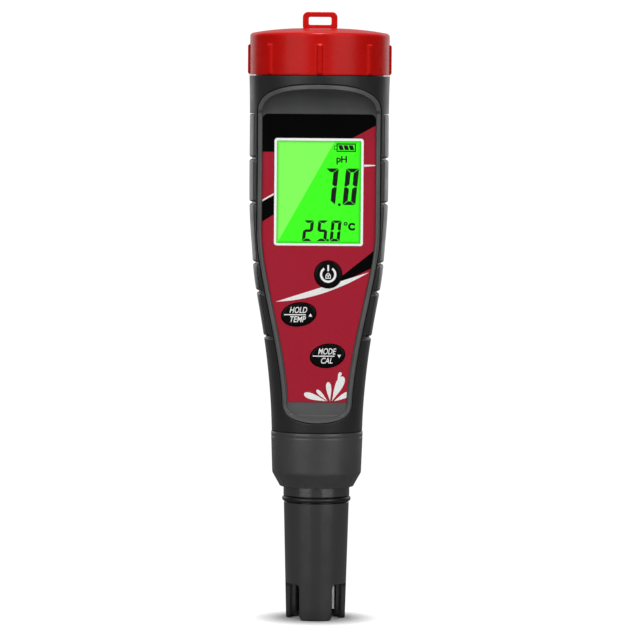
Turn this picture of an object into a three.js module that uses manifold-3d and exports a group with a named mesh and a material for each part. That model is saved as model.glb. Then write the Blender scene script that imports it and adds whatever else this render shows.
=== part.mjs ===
// A pen-type pH meter that stands on the tip of its probe: red screw-on battery cap with a
// lanyard loop, tapered tubular housing with a sunken front panel (display and three keys),
// and a plug-in electrode held by a screw collar.
// Millimetres, +Z up, front towards -Y, origin on the floor at the probe's axis.
import * as THREE from "three";
import { mergeVertices } from "three/addons/utils/BufferGeometryUtils.js";
import Module from "manifold-3d";

const wasm = await Module();
wasm.setup();

// ---------------------------------------------------------------- driving dimensions
const GAP = 0.3; // clearance between pieces that only touch
const SEG = 40; // sides of a large turned piece
const SMALL_SEG = 20; // sides of a small turned piece

// housing: [height, outer radius] down the tube
const HOUSING_PROFILE = [
  [152.4, 19.65],
  [142, 19.45],
  [117, 19.4],
  [104, 18.6],
  [95.6, 17.85],
  [84, 15.85],
  [76, 14.6],
  [68, 13.65],
  [60, 13.0],
  [53.1, 12.7],
];
const NECK_TOP = 161; // top of the threaded neck inside the battery cap
const NECK_R = 18.2;
const NECK_WALL = 1;
const TAIL_END = 44.5; // lower end of the threaded tail inside the collar
const TAIL_R = 11.0;
const TAIL_BORE_R = 9.0;
const NECK_ROOT = 150; // how far down inside the housing the neck starts
const TAIL_ROOT = 56; // how far up inside the housing the tail starts
// inside of the housing between tail and neck: [radius, height]
const BORE_PROFILE = [
  [10.3, 58],
  [11.3, 66],
  [12.5, 76],
  [14.0, 85],
  [15.8, 96],
  [17.15, 106],
];

// front panel: a flat sunk into the round tube, scooped out at the top, ramped at the foot
const PANEL_DEPTH = 8.6; // from the tube's axis to the panel plane
const PANEL_END = 57.9; // lower end of the plane
const RIM_DEPTH = 9.3; // top of the rim round the panel
const RIM_WIDTH = 1.1;
const SCOOP = { z: 142, height: 6.8, depth: 19.45 };
const RAMP = { step: 0.2, bottom: 56.2, outer: 12.6 }; // short chamfer, then the ramp
const LABEL_TOP = 142;
const LABEL_BOTTOM = 61.5;
const LABEL_HALF = 15.7;
const COVER_HALF = 17.0;
const COVER_TOP = 149.9;
const COVER_BOTTOM = 55.85;
const ARCH_POWER = 2.6; // squareness of the arch, 2 being an ellipse
const FOOT_HALF = 9.7;
const FOOT_START = 61.2; // height where the flanks turn into the rounded foot
const FOOT_POWER = 2.3;
const LABEL_FOOT_HALF = 8.1;
const FLANK = { start: 108, turn: 76.5, coverPull: 0.6, labelPull: 0.5 }; // narrowing flanks
const COVER_FLOOR = 1.6; // thickness of the cover behind the panel plane
const LEDGE = { front: 6.3, back: 4.8, width: 1.9 }; // seat for the cover's gasket
const LABEL_POCKET = 0.35;
const LABEL_THICK = 0.25;
const LABEL_CORNER = 1.2;
const SCREW_BOSS = { outer: 2.2, inner: 1.3 };

// display stack, centred on the panel
const WINDOW = { width: 24.8, height: 29.9, z: 120.1, thick: 1.1, corner: 0.8, ledge: 0.45 };
const GLASS = { width: 25.6, height: 31.2, thick: 1.1, front: 1.9 };
const BACKLIGHT = { width: 25.4, height: 28.8, z: 121.2, thick: 1.5, front: 3.15 };
const ZEBRA = { width: 22, height: 1.6, z: 105.5 };
const BOARD_FRONT = 4.8; // board's front face, behind the panel plane
const BOARD_THICK = 1.2;
const HOLDER_MARGIN = { x: 1.3, z: 1.2, clear: 0.15 }; // frame round the display glass

// keys: [name, x, height, half width, half height, turn in degrees]
const KEYS = [
  ["power", 2.8, 97.2, 3.75, 3.75, 0],
  ["hold", -5.3, 86.0, 4.8, 3.2, 9],
  ["mode", 2.8, 74.5, 4.8, 3.2, 9],
];
const KEY_PROUD = 0.45; // key top above the panel plane
const KEY_CLEAR = 0.2; // gap all round a key in its hole
const SWITCH = { size: 4.5, front: 3.55, plunger: 2.9, well: 1.3, pin: 1.0 };
const KEY_FLANGE = { grow: 0.7, thick: 0.6 }; // hidden rim that keeps a key in its hole
const KEY_STEM_R = 1.6;

// side grips
const GRIP_TOP = 141.6;
const GRIP_BOTTOM = 79.8;
const GRIP_THICK = 1.0;
const GRIP_START = 68.5; // degrees round from the front
const GRIP_END = 118;
const GRIP_GROOVES = [129.3, 116.9, 100.1, 92.1];
const GROOVE_DEPTH = 0.7;
const GROOVE_WIDTH = 0.9;

// battery cap
const CAP_BOTTOM = 152.7;
const CAP_RIM = 164.4; // where the side turns into the domed top
const CAP_TOP = 165.65;
const CAP_R = 19.55;
const CAP_RIB_R = 20.15;
const CAP_RIBS = 8;
const CAP_BORE_R = 18.55;
const CAP_CEILING = 162.7;
// rounded upper edge: [in from the side, up from the rim]
const CAP_EDGE = [
  [0.1, -1.4],
  [0.6, -0.3],
  [1.7, 0.2],
];
const CAP_DOME = { radius: 10, drop: 0.3 }; // flat middle of the domed top
const CAP_RIB = { width: 1.6, depth: 1.2, height: 8.7 };
const LOOP = { width: 9.7, top: 170.2, thick: 2.4, corner: 1.4, root: 0.8 };
const LOOP_SLOT = { width: 6.3, bottom: 166.6, top: 168.8, corner: 0.4 };

// cells: two AAA, stood side by side behind the board
const CELL_R = 5.2;
const CELL_BOTTOM = 113.4;
const CELL_TOP = 156.6;
const CELL_NUB = { radius: 1.9, height: 1.0 };
const CELL_X = 5.9;
const CELL_Y = 9.9;
const CAGE_FLOOR = 108.6;
const CAGE_R = 16.5;
const CAGE_FRONT_Y = 3.4; // flat front of the cage, behind the axis
const CAGE_ROOT = 106.6;
const DECK = { bottom: 152, top: 153.6, radius: 16.85 };
const CELL_CLEAR = 0.25;

// contacts under the battery cap
const DISC = { radius: 16.6, bottom: 159.3, top: 160.9, keyR: 16.9, keyWidth: 4 };
const DISC_COLLAR = { outer: 9, inner: 7.4, top: 162.3 };
const CAP_BAR = { width: 18.8, depth: 7, thick: 0.4, z: 159.05 };
const CAP_GASKET = { outer: 18.15, inner: 17.35, bottom: 161.3, top: 162.4 };

// electrode and collar
const COLLAR_TOP = 52.8;
const COLLAR_BOTTOM = 37.4;
const COLLAR_CHAMFER_Z = 41.3; // where the lower chamfer meets the side
const COLLAR_SEAT_Z = 41.6; // inner shoulder that carries the washer
const COLLAR_R = { mouth: 10.35, chamfer: 12.5, top: 12.85, bore: 11.35, hole: 9.75 };
const SLEEVE_NECK_R = 9.27;
const SLEEVE_TIP_R = 8.3;
const SLEEVE_BORE_R = 6.9;
const SLEEVE_TOP = 49.4;
const SOCKET_TOP = 53.9;
const SOCKET = { outer: 8.7, inner: 5, bottom: 51.3, roofR: 6.4, roof: 53 };
const FLANGE = { bottom: 42.6, top: 44.2, radius: 10.8 };
const SPIGOT_R = 8.55;
const WASHER = { outer: 11.1, inner: 9.5, bottom: 41.8 };
const PRONG_HEIGHT = 10;
const PRONG_HALF_ANGLE = 34; // degrees each side of a prong's middle
const SLEEVE_MID_R = 9.15; // just under the outer seal
const ORING = { z: 33.9, radius: 8.9, tube: 0.75 };
const SPIGOT_GROOVE = { z: 47, radius: 8.0, tube: 0.7 };
const GLASS_TUBE_R = 3.6;
const GLASS_WALL = 0.5;
const GLASS_TOP = 44.4;
const BULB = { radius: 4.0, z: 6.0 };
const WIRE = { radius: 0.5, top: 44 };
const JUNCTION = { bottom: 10.6, top: 13.6, clear: 0.15 };
const SENSOR = { radius: 1.1, bottom: 2.4, top: 10.5, offset: 5.4, turn: 120 };
const PLUG = { bottom: 45, noseR: 5.2, nose: 1 };
const CHIP = {
  controller: { width: 7, height: 7, thick: 1.05, z: 112 },
  amplifier: { width: 4.9, height: 3.9, thick: 1.45, z: 84 },
  ribbon: { width: 6, height: 16, thick: 0.45, z: 63.4 },
};
const CELL_CONTACT = { radius: 4.6, thick: 0.4 };
const CELL_SPRING = { radius: 2.9, wire: 0.3, turns: 3 };
const CAP_SPRING = { radius: 2.4, wire: 0.25, turns: 2 };
const SEATED = 0.05; // clearance under a piece that rests on another
const PINS = { count: 6, radius: 0.5, circle: 3.8, ring: [4.4, 3.2], rise: 3.2 };

// ---------------------------------------------------------------- shape helpers
const rad = THREE.MathUtils.degToRad;

// A closed geometry as a manifold solid, turned right side out.
function solid(geometry) {
  const bare = new THREE.BufferGeometry();
  const loose = geometry.index ? geometry.toNonIndexed() : geometry;
  bare.setAttribute("position", loose.getAttribute("position"));
  const merged = mergeVertices(bare, 1e-4);
  const triVerts = new Uint32Array(merged.index.array);
  const vertProperties = merged.attributes.position.array;
  const made = new wasm.Manifold(new wasm.Mesh({ numProp: 3, vertProperties, triVerts }));
  if (made.volume() > 0) return made;
  for (let i = 0; i < triVerts.length; i += 3)
    [triVerts[i + 1], triVerts[i + 2]] = [triVerts[i + 2], triVerts[i + 1]];
  return new wasm.Manifold(new wasm.Mesh({ numProp: 3, vertProperties, triVerts }));
}

// A manifold solid as a three.js geometry.
function geometryOf(made) {
  const mesh = made.getMesh();
  const position = new Float32Array(mesh.numVert * 3);
  for (let i = 0; i < mesh.numVert; i++)
    position.set(mesh.vertProperties.subarray(i * mesh.numProp, i * mesh.numProp + 3), i * 3);
  const geometry = new THREE.BufferGeometry();
  geometry.setAttribute("position", new THREE.BufferAttribute(position, 3));
  geometry.setIndex(new THREE.BufferAttribute(mesh.triVerts, 1));
  geometry.computeVertexNormals();
  return geometry;
}

// Solid of revolution about Z from [radius, height] points.
function turned(points, segments = SEG) {
  const profile = points.map(([r, z]) => new THREE.Vector2(r, z));
  return solid(new THREE.LatheGeometry(profile, segments).rotateX(Math.PI / 2));
}

function tube(outer, inner, bottom, top, segments = SEG) {
  return turned(
    [[inner, bottom], [outer, bottom], [outer, top], [inner, top], [inner, bottom]],
    segments,
  );
}

function rod(radius, bottom, top, segments = SMALL_SEG) {
  return turned([[0, bottom], [radius, bottom], [radius, top], [0, top]], segments);
}

function block(width, depth, height, x, y, z) {
  return solid(new THREE.BoxGeometry(width, depth, height).translate(x, y, z));
}

// Extrudes a shape drawn in X and height Z along Y, from yBack (towards +Y) to yFront.
function slab(shape, yFront, yBack, curveSegments = 8) {
  const depth = yBack - yFront;
  const geometry = new THREE.ExtrudeGeometry(shape, { depth, bevelEnabled: false, curveSegments });
  return solid(geometry.rotateX(Math.PI / 2).translate(0, yBack, 0));
}

// Extrudes a shape drawn in the panel's own X and Y, between two heights above the panel.
function plate(shape, low, high, curveSegments = 8) {
  const options = { depth: high - low, bevelEnabled: false, curveSegments };
  return solid(new THREE.ExtrudeGeometry(shape, options).translate(0, 0, low));
}

function torus(radius, tubeRadius, z, segments = 32, sides = 8) {
  return solid(new THREE.TorusGeometry(radius, tubeRadius, sides, segments).translate(0, 0, z));
}

function roundRect(width, height, corner, x = 0, y = 0) {
  const [w, h] = [width / 2, height / 2];
  const shape = new THREE.Shape();
  shape.moveTo(x - w + corner, y - h);
  shape.lineTo(x + w - corner, y - h);
  shape.absarc(x + w - corner, y - h + corner, corner, -Math.PI / 2, 0);
  shape.absarc(x + w - corner, y + h - corner, corner, 0, Math.PI / 2);
  shape.absarc(x - w + corner, y + h - corner, corner, Math.PI / 2, Math.PI);
  shape.absarc(x - w + corner, y - h + corner, corner, Math.PI, 1.5 * Math.PI);
  return shape;
}

function ellipse(halfWidth, halfHeight, turn, x, y) {
  const shape = new THREE.Shape();
  shape.absellipse(x, y, halfWidth, halfHeight, 0, 2 * Math.PI, false, rad(turn));
  return shape;
}

// A wedge between two angles round from the front, as a prism over all heights asked for.
function wedge(fromDeg, toDeg, bottom, top, reach = 40) {
  const steps = 6;
  const shape = new THREE.Shape();
  shape.moveTo(0, 0);
  for (let i = 0; i <= steps; i++) {
    const a = rad(fromDeg + ((toDeg - fromDeg) * i) / steps);
    shape.lineTo(reach * Math.sin(a), -reach * Math.cos(a));
  }
  const geometry = new THREE.ExtrudeGeometry(shape, { depth: top - bottom, bevelEnabled: false });
  return solid(geometry.translate(0, 0, bottom));
}

// A coil spring about Z with its middle at x, y.
function coil(radius, wire, bottom, top, turns, x, y) {
  const [low, high] = [bottom + wire, top - wire];
  class Helix extends THREE.Curve {
    getPoint(t, out = new THREE.Vector3()) {
      const a = 2 * Math.PI * turns * t;
      return out.set(x + radius * Math.cos(a), y + radius * Math.sin(a), low + (high - low) * t);
    }
  }
  const section = new THREE.Shape();
  section.absarc(0, 0, wire, 0, 2 * Math.PI);
  const options = { steps: turns * 10, curveSegments: 3, extrudePath: new Helix() };
  return solid(new THREE.ExtrudeGeometry(section, options));
}

// ---------------------------------------------------------------- panel and outlines
// X across, Y up the panel (height above the floor), Z out of it towards the user.
const panel = new THREE.Group();
panel.position.set(0, -PANEL_DEPTH, 0);
panel.rotation.x = Math.PI / 2;
panel.updateMatrix();

const onPanel = (made) => solid(geometryOf(made).applyMatrix4(panel.matrix));

// Right-hand side of a panel outline that narrows downwards, from its top to its bottom.
function flank(topHalf, topZ, bottomHalf, bottomZ, pull) {
  const curve = new THREE.CubicBezierCurve(
    new THREE.Vector2(topHalf, topZ),
    new THREE.Vector2(topHalf, topZ - 10),
    new THREE.Vector2(bottomHalf + pull, FLANK.turn),
    new THREE.Vector2(bottomHalf, bottomZ),
  );
  return curve.getPoints(7).map((p) => [p.x, p.y]);
}

function closedShape(rightSide) {
  const shape = new THREE.Shape();
  rightSide.forEach(([x, z], i) => (i ? shape.lineTo(x, z) : shape.moveTo(x, z)));
  [...rightSide].reverse().forEach(([x, z]) => x > 1e-6 && shape.lineTo(-x, z));
  return shape;
}

// A quarter of a superellipse, from (half, z0) to (0, z1).
function shoulder(half, z0, z1, power, steps) {
  const points = [];
  for (let i = 1; i <= steps; i++) {
    const a = (Math.PI / 2) * (i / steps);
    const x = half * Math.pow(Math.cos(a), 2 / power);
    points.push([i === steps ? 0 : x, z0 + (z1 - z0) * Math.pow(Math.sin(a), 2 / power)]);
  }
  return points;
}

// Outline of the front cover in X and Z: arch, flanks and rounded foot, grown by `grow`.
function coverOutline(grow = 0) {
  const half = COVER_HALF + grow;
  const footHalf = FOOT_HALF + grow;
  const arch = shoulder(half, LABEL_TOP, COVER_TOP + grow, ARCH_POWER, 7).reverse();
  const side = flank(half, FLANK.start, footHalf, FOOT_START, FLANK.coverPull);
  const foot = shoulder(footHalf, FOOT_START, COVER_BOTTOM - grow, FOOT_POWER, 6);
  return closedShape([...arch, [half, LABEL_TOP], ...side, ...foot]);
}

// Outline of the label in the panel's own coordinates.
function labelOutline(grow = 0) {
  const [top, bottom] = [LABEL_TOP + grow, LABEL_BOTTOM - grow];
  const half = LABEL_HALF + grow;
  const corner = LABEL_CORNER;
  const side = flank(half, FLANK.start, LABEL_FOOT_HALF + grow, LABEL_BOTTOM, FLANK.labelPull);
  side[side.length - 1][1] = bottom;
  return closedShape([[0, top], [half - corner, top], [half, top - corner], ...side, [0, bottom]]);
}

// ---------------------------------------------------------------- housing and cover
const housingCurve = new THREE.SplineCurve(
  HOUSING_PROFILE.map(([z, r]) => new THREE.Vector2(r, z)),
);
const housingPoints = housingCurve.getPoints(12).map((p) => [p.x, p.y]);

// Full tube following the housing's outside, `inset` under its surface.
function housingSkin(inset, bottom = 0, top = 400) {
  const points = housingPoints.map(([r, z]) => [r - inset, z]);
  const body = turned([[0, points[0][1]], ...points, [0, points.at(-1)[1]]]);
  return body.intersect(block(80, 80, top - bottom, 0, 0, (top + bottom) / 2));
}

// Extrudes a polygon of [depth towards the front, height] points across the whole width.
function acrossWidth(points, half = 30) {
  const shape = new THREE.Shape(points.map(([depth, z]) => new THREE.Vector2(depth, z)));
  const geometry = new THREE.ExtrudeGeometry(shape, { depth: 2 * half, bevelEnabled: false });
  // shape X runs towards -Y, shape Y runs up, the extrusion runs along X
  const toRow = new THREE.Matrix4().set(0, 0, 1, -half, -1, 0, 0, 0, 0, 1, 0, 0, 0, 0, 0, 1);
  return solid(geometry.applyMatrix4(toRow));
}

function housing() {
  const outer = housingSkin(0)
    .add(rod(NECK_R, NECK_ROOT, NECK_TOP, SEG))
    .add(rod(TAIL_R, TAIL_END, TAIL_ROOT, SEG));
  const inner = turned([
    [0, TAIL_END - 1],
    [TAIL_BORE_R, TAIL_END - 1],
    [TAIL_BORE_R, SOCKET_TOP + GAP],
    ...BORE_PROFILE,
    [NECK_R - NECK_WALL, NECK_TOP + 1],
    [0, NECK_TOP + 1],
  ]);
  const shelfThick = 1.4; // ties the ledge to the tube above the arch
  const shelfDepth = 16;
  const shelfY = -LEDGE.back - shelfDepth / 2;
  const shelfZ = COVER_TOP + GAP + shelfThick / 2;
  const frame = slab(coverOutline(2 * GAP), -LEDGE.front, -LEDGE.back)
    .add(block(2 * NECK_R, shelfDepth, shelfThick, 0, shelfY, shelfZ))
    .subtract(slab(coverOutline(-LEDGE.width), -20, 0))
    .intersect(outer);
  return outer
    .subtract(inner)
    .add(frame)
    .subtract(slab(coverOutline(GAP), -30, -LEDGE.front))
    .subtract(gripSeats());
}

// Everything behind the panel's outer surface: rim, plane, scoop and ramp, seen side-on.
function coverProfile(depth) {
  const points = [[0, 50], [RAMP.outer + 2, 50], [RAMP.outer, RAMP.bottom]];
  if (depth < RIM_DEPTH) points.push([depth + RAMP.step, PANEL_END - RAMP.step]);
  points.push([depth, PANEL_END + (depth < RIM_DEPTH ? 0 : -1)]);
  const steps = 6;
  for (let i = 0; i <= steps; i++) {
    const t = (Math.PI / 2) * (i / steps);
    const reach = (SCOOP.depth - depth) * Math.cos(t);
    points.push([SCOOP.depth - reach, SCOOP.z + SCOOP.height * Math.sin(t)]);
  }
  return [...points, [25, SCOOP.z + SCOOP.height], [25, 160], [0, 160]];
}

const SCREW_PLACES = [
  [-11.5, 100.3],
  [11.5, 100.3],
  [-5, 66.3],
  [5, 66.3],
];

function frontCover() {
  const back = PANEL_DEPTH - COVER_FLOOR;
  const within = housingSkin(0).intersect(slab(coverOutline(), -22, -back));
  const sunk = acrossWidth(coverProfile(PANEL_DEPTH));
  const rim = acrossWidth(coverProfile(RIM_DEPTH)).subtract(
    slab(coverOutline(-RIM_WIDTH), -30, 0),
  );
  const pocket = plate(labelOutline(0.15), -LABEL_POCKET, 4);
  const w = WINDOW;
  const seat = roundRect(w.width + 0.4, w.height + 0.4, w.corner, 0, w.z);
  const hole = roundRect(w.width - 2 * w.ledge, w.height - 2 * w.ledge, 0.5, 0, w.z);
  let cover = within.intersect(sunk.add(rim));
  let cuts = pocket.add(plate(seat, -w.thick - 0.1, 4)).add(plate(hole, -4, 4));
  for (const [, x, z, a, b, turn] of KEYS)
    cuts = cuts.add(plate(ellipse(a + KEY_CLEAR, b + KEY_CLEAR, turn, x, z), -9, 4));
  cover = cover.subtract(onPanel(cuts));
  for (const [x, z] of SCREW_PLACES) {
    const { outer, inner } = SCREW_BOSS;
    const boss = tube(outer, inner, -BOARD_FRONT + 0.25, -COVER_FLOOR + 0.2, SMALL_SEG / 2);
    cover = cover.add(onPanel(boss.translate([x, z, 0])));
  }
  return cover;
}

function coverGasket() {
  const front = PANEL_DEPTH - COVER_FLOOR - 0.05;
  const ring = slab(coverOutline(-0.75), -front, -LEDGE.front - 0.05);
  return ring.subtract(slab(coverOutline(-1.6), -20, 0));
}

// ---------------------------------------------------------------- side grips
const gripSector = (side, spare, bottom, top) =>
  side > 0
    ? wedge(GRIP_START - spare, GRIP_END + spare, bottom, top)
    : wedge(-GRIP_END - spare, -GRIP_START + spare, bottom, top);

function gripSeats() {
  const bottom = GRIP_BOTTOM - GAP / 2;
  const top = GRIP_TOP + GAP / 2;
  const band = housingSkin(-3, bottom, top).subtract(housingSkin(GRIP_THICK + 0.15));
  const sides = gripSector(1, 0.6, bottom, top).add(gripSector(-1, 0.6, bottom, top));
  return band.intersect(sides);
}

function sideGrip(side) {
  let grip = housingSkin(0, GRIP_BOTTOM, GRIP_TOP)
    .subtract(housingSkin(GRIP_THICK))
    .intersect(gripSector(side, 0, GRIP_BOTTOM, GRIP_TOP));
  const cutter = housingSkin(-3).subtract(housingSkin(GROOVE_DEPTH));
  for (const z of GRIP_GROOVES)
    grip = grip.subtract(cutter.intersect(block(60, 60, GROOVE_WIDTH, 0, 0, z)));
  return grip;
}

// ---------------------------------------------------------------- battery cap
function batteryCap() {
  const shell = turned([
    [CAP_BORE_R, CAP_BOTTOM],
    [CAP_R, CAP_BOTTOM],
    ...CAP_EDGE.map(([inset, rise]) => [CAP_R - inset, CAP_RIM + rise]),
    [CAP_DOME.radius, CAP_TOP - CAP_DOME.drop],
    [0, CAP_TOP],
    [0, CAP_CEILING],
    [CAP_BORE_R, CAP_CEILING],
    [CAP_BORE_R, CAP_BOTTOM],
  ]);
  let cap = shell;
  const { width, depth, height: tall } = CAP_RIB;
  const ribY = depth / 2 - CAP_RIB_R;
  for (let i = 0; i < CAP_RIBS; i++) {
    const rib = block(width, depth, tall, 0, ribY, CAP_BOTTOM + tall / 2);
    cap = cap.add(rib.rotate([0, 0, (360 * i) / CAP_RIBS]));
  }
  const base = CAP_TOP - LOOP.root;
  const height = LOOP.top - base;
  const tab = slab(
    roundRect(LOOP.width, height, LOOP.corner, 0, (LOOP.top + base) / 2),
    -LOOP.thick / 2,
    LOOP.thick / 2,
    3,
  );
  const s = LOOP_SLOT;
  const slot = roundRect(s.width, s.top - s.bottom, s.corner, 0, (s.top + s.bottom) / 2);
  return cap.add(tab).subtract(slab(slot, -5, 5, 2));
}

// Disc that carries the cap contact; a small key on its back edge stops it turning.
function contactDisc() {
  const { radius, bottom, top, keyR, keyWidth } = DISC;
  const middle = (top + bottom) / 2;
  const key = block(keyWidth, 1.2, top - bottom, 0, radius - 0.2, middle);
  const hub = tube(DISC_COLLAR.outer, DISC_COLLAR.inner, top - 0.1, DISC_COLLAR.top);
  return rod(radius, bottom, top, SEG)
    .add(key.intersect(rod(keyR, bottom, top, SEG)))
    .add(hub);
}

// One cell, button end up on the left and down on the right.
function cell(side) {
  const nub = CELL_NUB;
  const points = [
    [0, CELL_BOTTOM],
    [CELL_R - 0.3, CELL_BOTTOM],
    [CELL_R, CELL_BOTTOM + 0.3],
    [CELL_R, CELL_TOP - 0.3],
    [CELL_R - 0.3, CELL_TOP],
    [nub.radius, CELL_TOP],
    [nub.radius, CELL_TOP + nub.height],
    [0, CELL_TOP + nub.height],
  ];
  const upright = turned(points, SMALL_SEG);
  const turnedOver = upright.mirror([0, 0, 1]).translate([0, 0, CELL_BOTTOM + CELL_TOP]);
  return (side < 0 ? upright : turnedOver).translate([side * CELL_X, CELL_Y, 0]);
}

function batteryCage() {
  const front = block(50, 40, DECK.top - 50, 0, CAGE_FRONT_Y - 20, (DECK.top + 50) / 2);
  let cage = rod(CAGE_R, CAGE_ROOT, DECK.top, SEG)
    .subtract(front)
    .add(rod(DECK.radius, DECK.bottom, DECK.top, SEG));
  for (const side of [-1, 1]) {
    const bore = rod(CELL_R + CELL_CLEAR, CAGE_FLOOR, NECK_TOP, SEG);
    cage = cage.subtract(bore.translate([side * CELL_X, CELL_Y, 0]));
  }
  return cage;
}

// ---------------------------------------------------------------- display, board and keys
const panelBox = (width, height, front, back, x, z) =>
  block(width, height, back - front, x, z, -(front + back) / 2);

function lcdHolder() {
  const { width, height } = GLASS;
  const { x, z, clear } = HOLDER_MARGIN;
  const outside = roundRect(width + 2 * x, height + 2 * z, 0.6, 0, WINDOW.z);
  outside.holes.push(roundRect(width + 2 * clear, height + 2 * clear, 0.2, 0, WINDOW.z));
  return plate(outside, -BOARD_FRONT + 0.1, -COVER_FLOOR - 0.15, 2);
}

function mainBoard() {
  const shape = closedShape([
    [0, 141],
    [12.6, 141],
    [13.6, 138],
    [13.6, 99],
    [11.4, 91],
    [8.2, 76],
    [7.6, 63.7],
    [0, 63.7],
  ]);
  let board = plate(shape, -BOARD_FRONT - BOARD_THICK, -BOARD_FRONT);
  for (const [x, z] of SCREW_PLACES)
    board = board.subtract(rod(SCREW_BOSS.inner, -20, 20, 12).translate([x, z, 0]));
  return board;
}

// Pan-head screw put in from behind the board.
function boardScrew([x, z]) {
  const back = -BOARD_FRONT - BOARD_THICK;
  const points = [
    [0, back - 1.3],
    [1.6, back - 1.3],
    [1.95, back - 0.9],
    [1.95, back - 0.1],
    [1, back - 0.1],
    [1, -COVER_FLOOR - 0.4],
    [0, -COVER_FLOOR - 0.4],
  ];
  return turned(points, 12).translate([x, z, 0]);
}

function key(x, z, a, b, turn) {
  const skirt = plate(ellipse(a, b, turn, x, z), -2.2, KEY_PROUD - 0.2, 12);
  const crown = plate(ellipse(a - 0.25, b - 0.25, turn, x, z), KEY_PROUD - 0.3, KEY_PROUD, 12);
  const under = -COVER_FLOOR - 0.15;
  const { grow, thick } = KEY_FLANGE;
  const flange = plate(ellipse(a + grow, b + grow, turn, x, z), under - thick, under, 12);
  const stemLow = -SWITCH.plunger + 0.1;
  const stem = rod(KEY_STEM_R, stemLow, under - thick / 2, 12).translate([x, z, 0]);
  return skirt.add(crown).add(flange).add(stem);
}

// ---------------------------------------------------------------- electrode
function collar() {
  const { mouth, chamfer, top, bore, hole } = COLLAR_R;
  return turned([
    [hole, COLLAR_BOTTOM],
    [mouth, COLLAR_BOTTOM],
    [chamfer, COLLAR_CHAMFER_Z],
    [top, COLLAR_TOP],
    [bore, COLLAR_TOP],
    [bore, COLLAR_SEAT_Z],
    [hole, COLLAR_SEAT_Z],
    [hole, COLLAR_BOTTOM],
  ]);
}

function electrodeSleeve() {
  const groove = (o) => [
    [o.radius - o.tube - 0.15, o.z + o.tube + 0.1],
    [o.radius - o.tube - 0.15, o.z - o.tube - 0.1],
  ];
  const [gTop, gBottom] = groove(ORING);
  const [sTop, sBottom] = groove(SPIGOT_GROOVE);
  let sleeve = turned([
    [SLEEVE_BORE_R, 0],
    [SLEEVE_TIP_R - 0.6, 0],
    [SLEEVE_TIP_R, 0.9],
    [SLEEVE_MID_R, gBottom[1]],
    gBottom,
    gTop,
    [SLEEVE_NECK_R, gTop[1]],
    [SLEEVE_NECK_R, FLANGE.bottom],
    [FLANGE.radius, FLANGE.bottom],
    [FLANGE.radius, FLANGE.top],
    [SPIGOT_R, FLANGE.top],
    [SPIGOT_R, sBottom[1]],
    sBottom,
    sTop,
    [SPIGOT_R, sTop[1]],
    [SPIGOT_R, SLEEVE_TOP],
    [SLEEVE_BORE_R, SLEEVE_TOP],
    [SLEEVE_BORE_R, 0],
  ]);
  for (const middle of [60, 180, 300]) {
    const half = 60 - PRONG_HALF_ANGLE;
    sleeve = sleeve.subtract(wedge(middle - half, middle + half, -1, PRONG_HEIGHT));
  }
  return sleeve;
}

function glassElectrode() {
  const points = [];
  const inner = GLASS_TUBE_R - GLASS_WALL;
  const from = -Math.PI / 2;
  const to = Math.acos((GLASS_TUBE_R - 0.6) / BULB.radius);
  for (let i = 0; i <= 7; i++) {
    const a = from + ((to - from) * i) / 7;
    const r = i ? BULB.radius * Math.cos(a) : 0;
    points.push([r, BULB.z + BULB.radius * Math.sin(a)]);
  }
  const neck = BULB.z + BULB.radius; // height where the bulb has run into the tube
  points.push([GLASS_TUBE_R, neck + 0.4], [GLASS_TUBE_R, GLASS_TOP], [inner, GLASS_TOP]);
  points.push([inner, neck], [3.2, BULB.z], [1.8, BULB.z - 2.9], [0, BULB.z - 3.4]);
  return turned(points, SMALL_SEG);
}

// ---------------------------------------------------------------- materials and assembly
const finish = (color, roughness, metalness = 0) =>
  new THREE.MeshStandardMaterial({ color, roughness, metalness });
const MATERIALS = {
  blackPlastic: finish(0x3c3c3c, 0.5),
  coverPlastic: finish(0x444444, 0.45),
  grip: finish(0x2e2e2e, 0.8),
  redPlastic: finish(0xb41414, 0.3),
  label: finish(0xa12034, 0.4),
  keyRubber: finish(0x0c0c0c, 0.45),
  clear: finish(0xe8f2ee, 0.08),
  lcd: finish(0x44e010, 0.3),
  white: finish(0xf0f0f0, 0.5),
  board: finish(0x1c6b34, 0.55),
  chip: finish(0x161616, 0.5),
  sealRubber: finish(0x101010, 0.6),
  metal: finish(0xc9c9c4, 0.3, 1),
  brass: finish(0xd9b45a, 0.3, 1),
  cellJacket: finish(0x24508c, 0.35),
  cage: finish(0x55585c, 0.6),
  glass: finish(0xdfeef0, 0.05),
  junction: finish(0xf4f1e8, 0.8),
};

const meter = new THREE.Group();
meter.add(panel);

function addPiece(name, made, material, group = meter) {
  const mesh = new THREE.Mesh(geometryOf(made), MATERIALS[material]);
  mesh.name = name;
  group.add(mesh);
}

function addCase() {
  addPiece("housing", housing(), "blackPlastic");
  addPiece("front_cover", frontCover(), "coverPlastic");
  addPiece("cover_gasket", coverGasket(), "sealRubber");
  addPiece("side_grip_right", sideGrip(1), "grip");
  addPiece("side_grip_left", sideGrip(-1), "grip");
}

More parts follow.
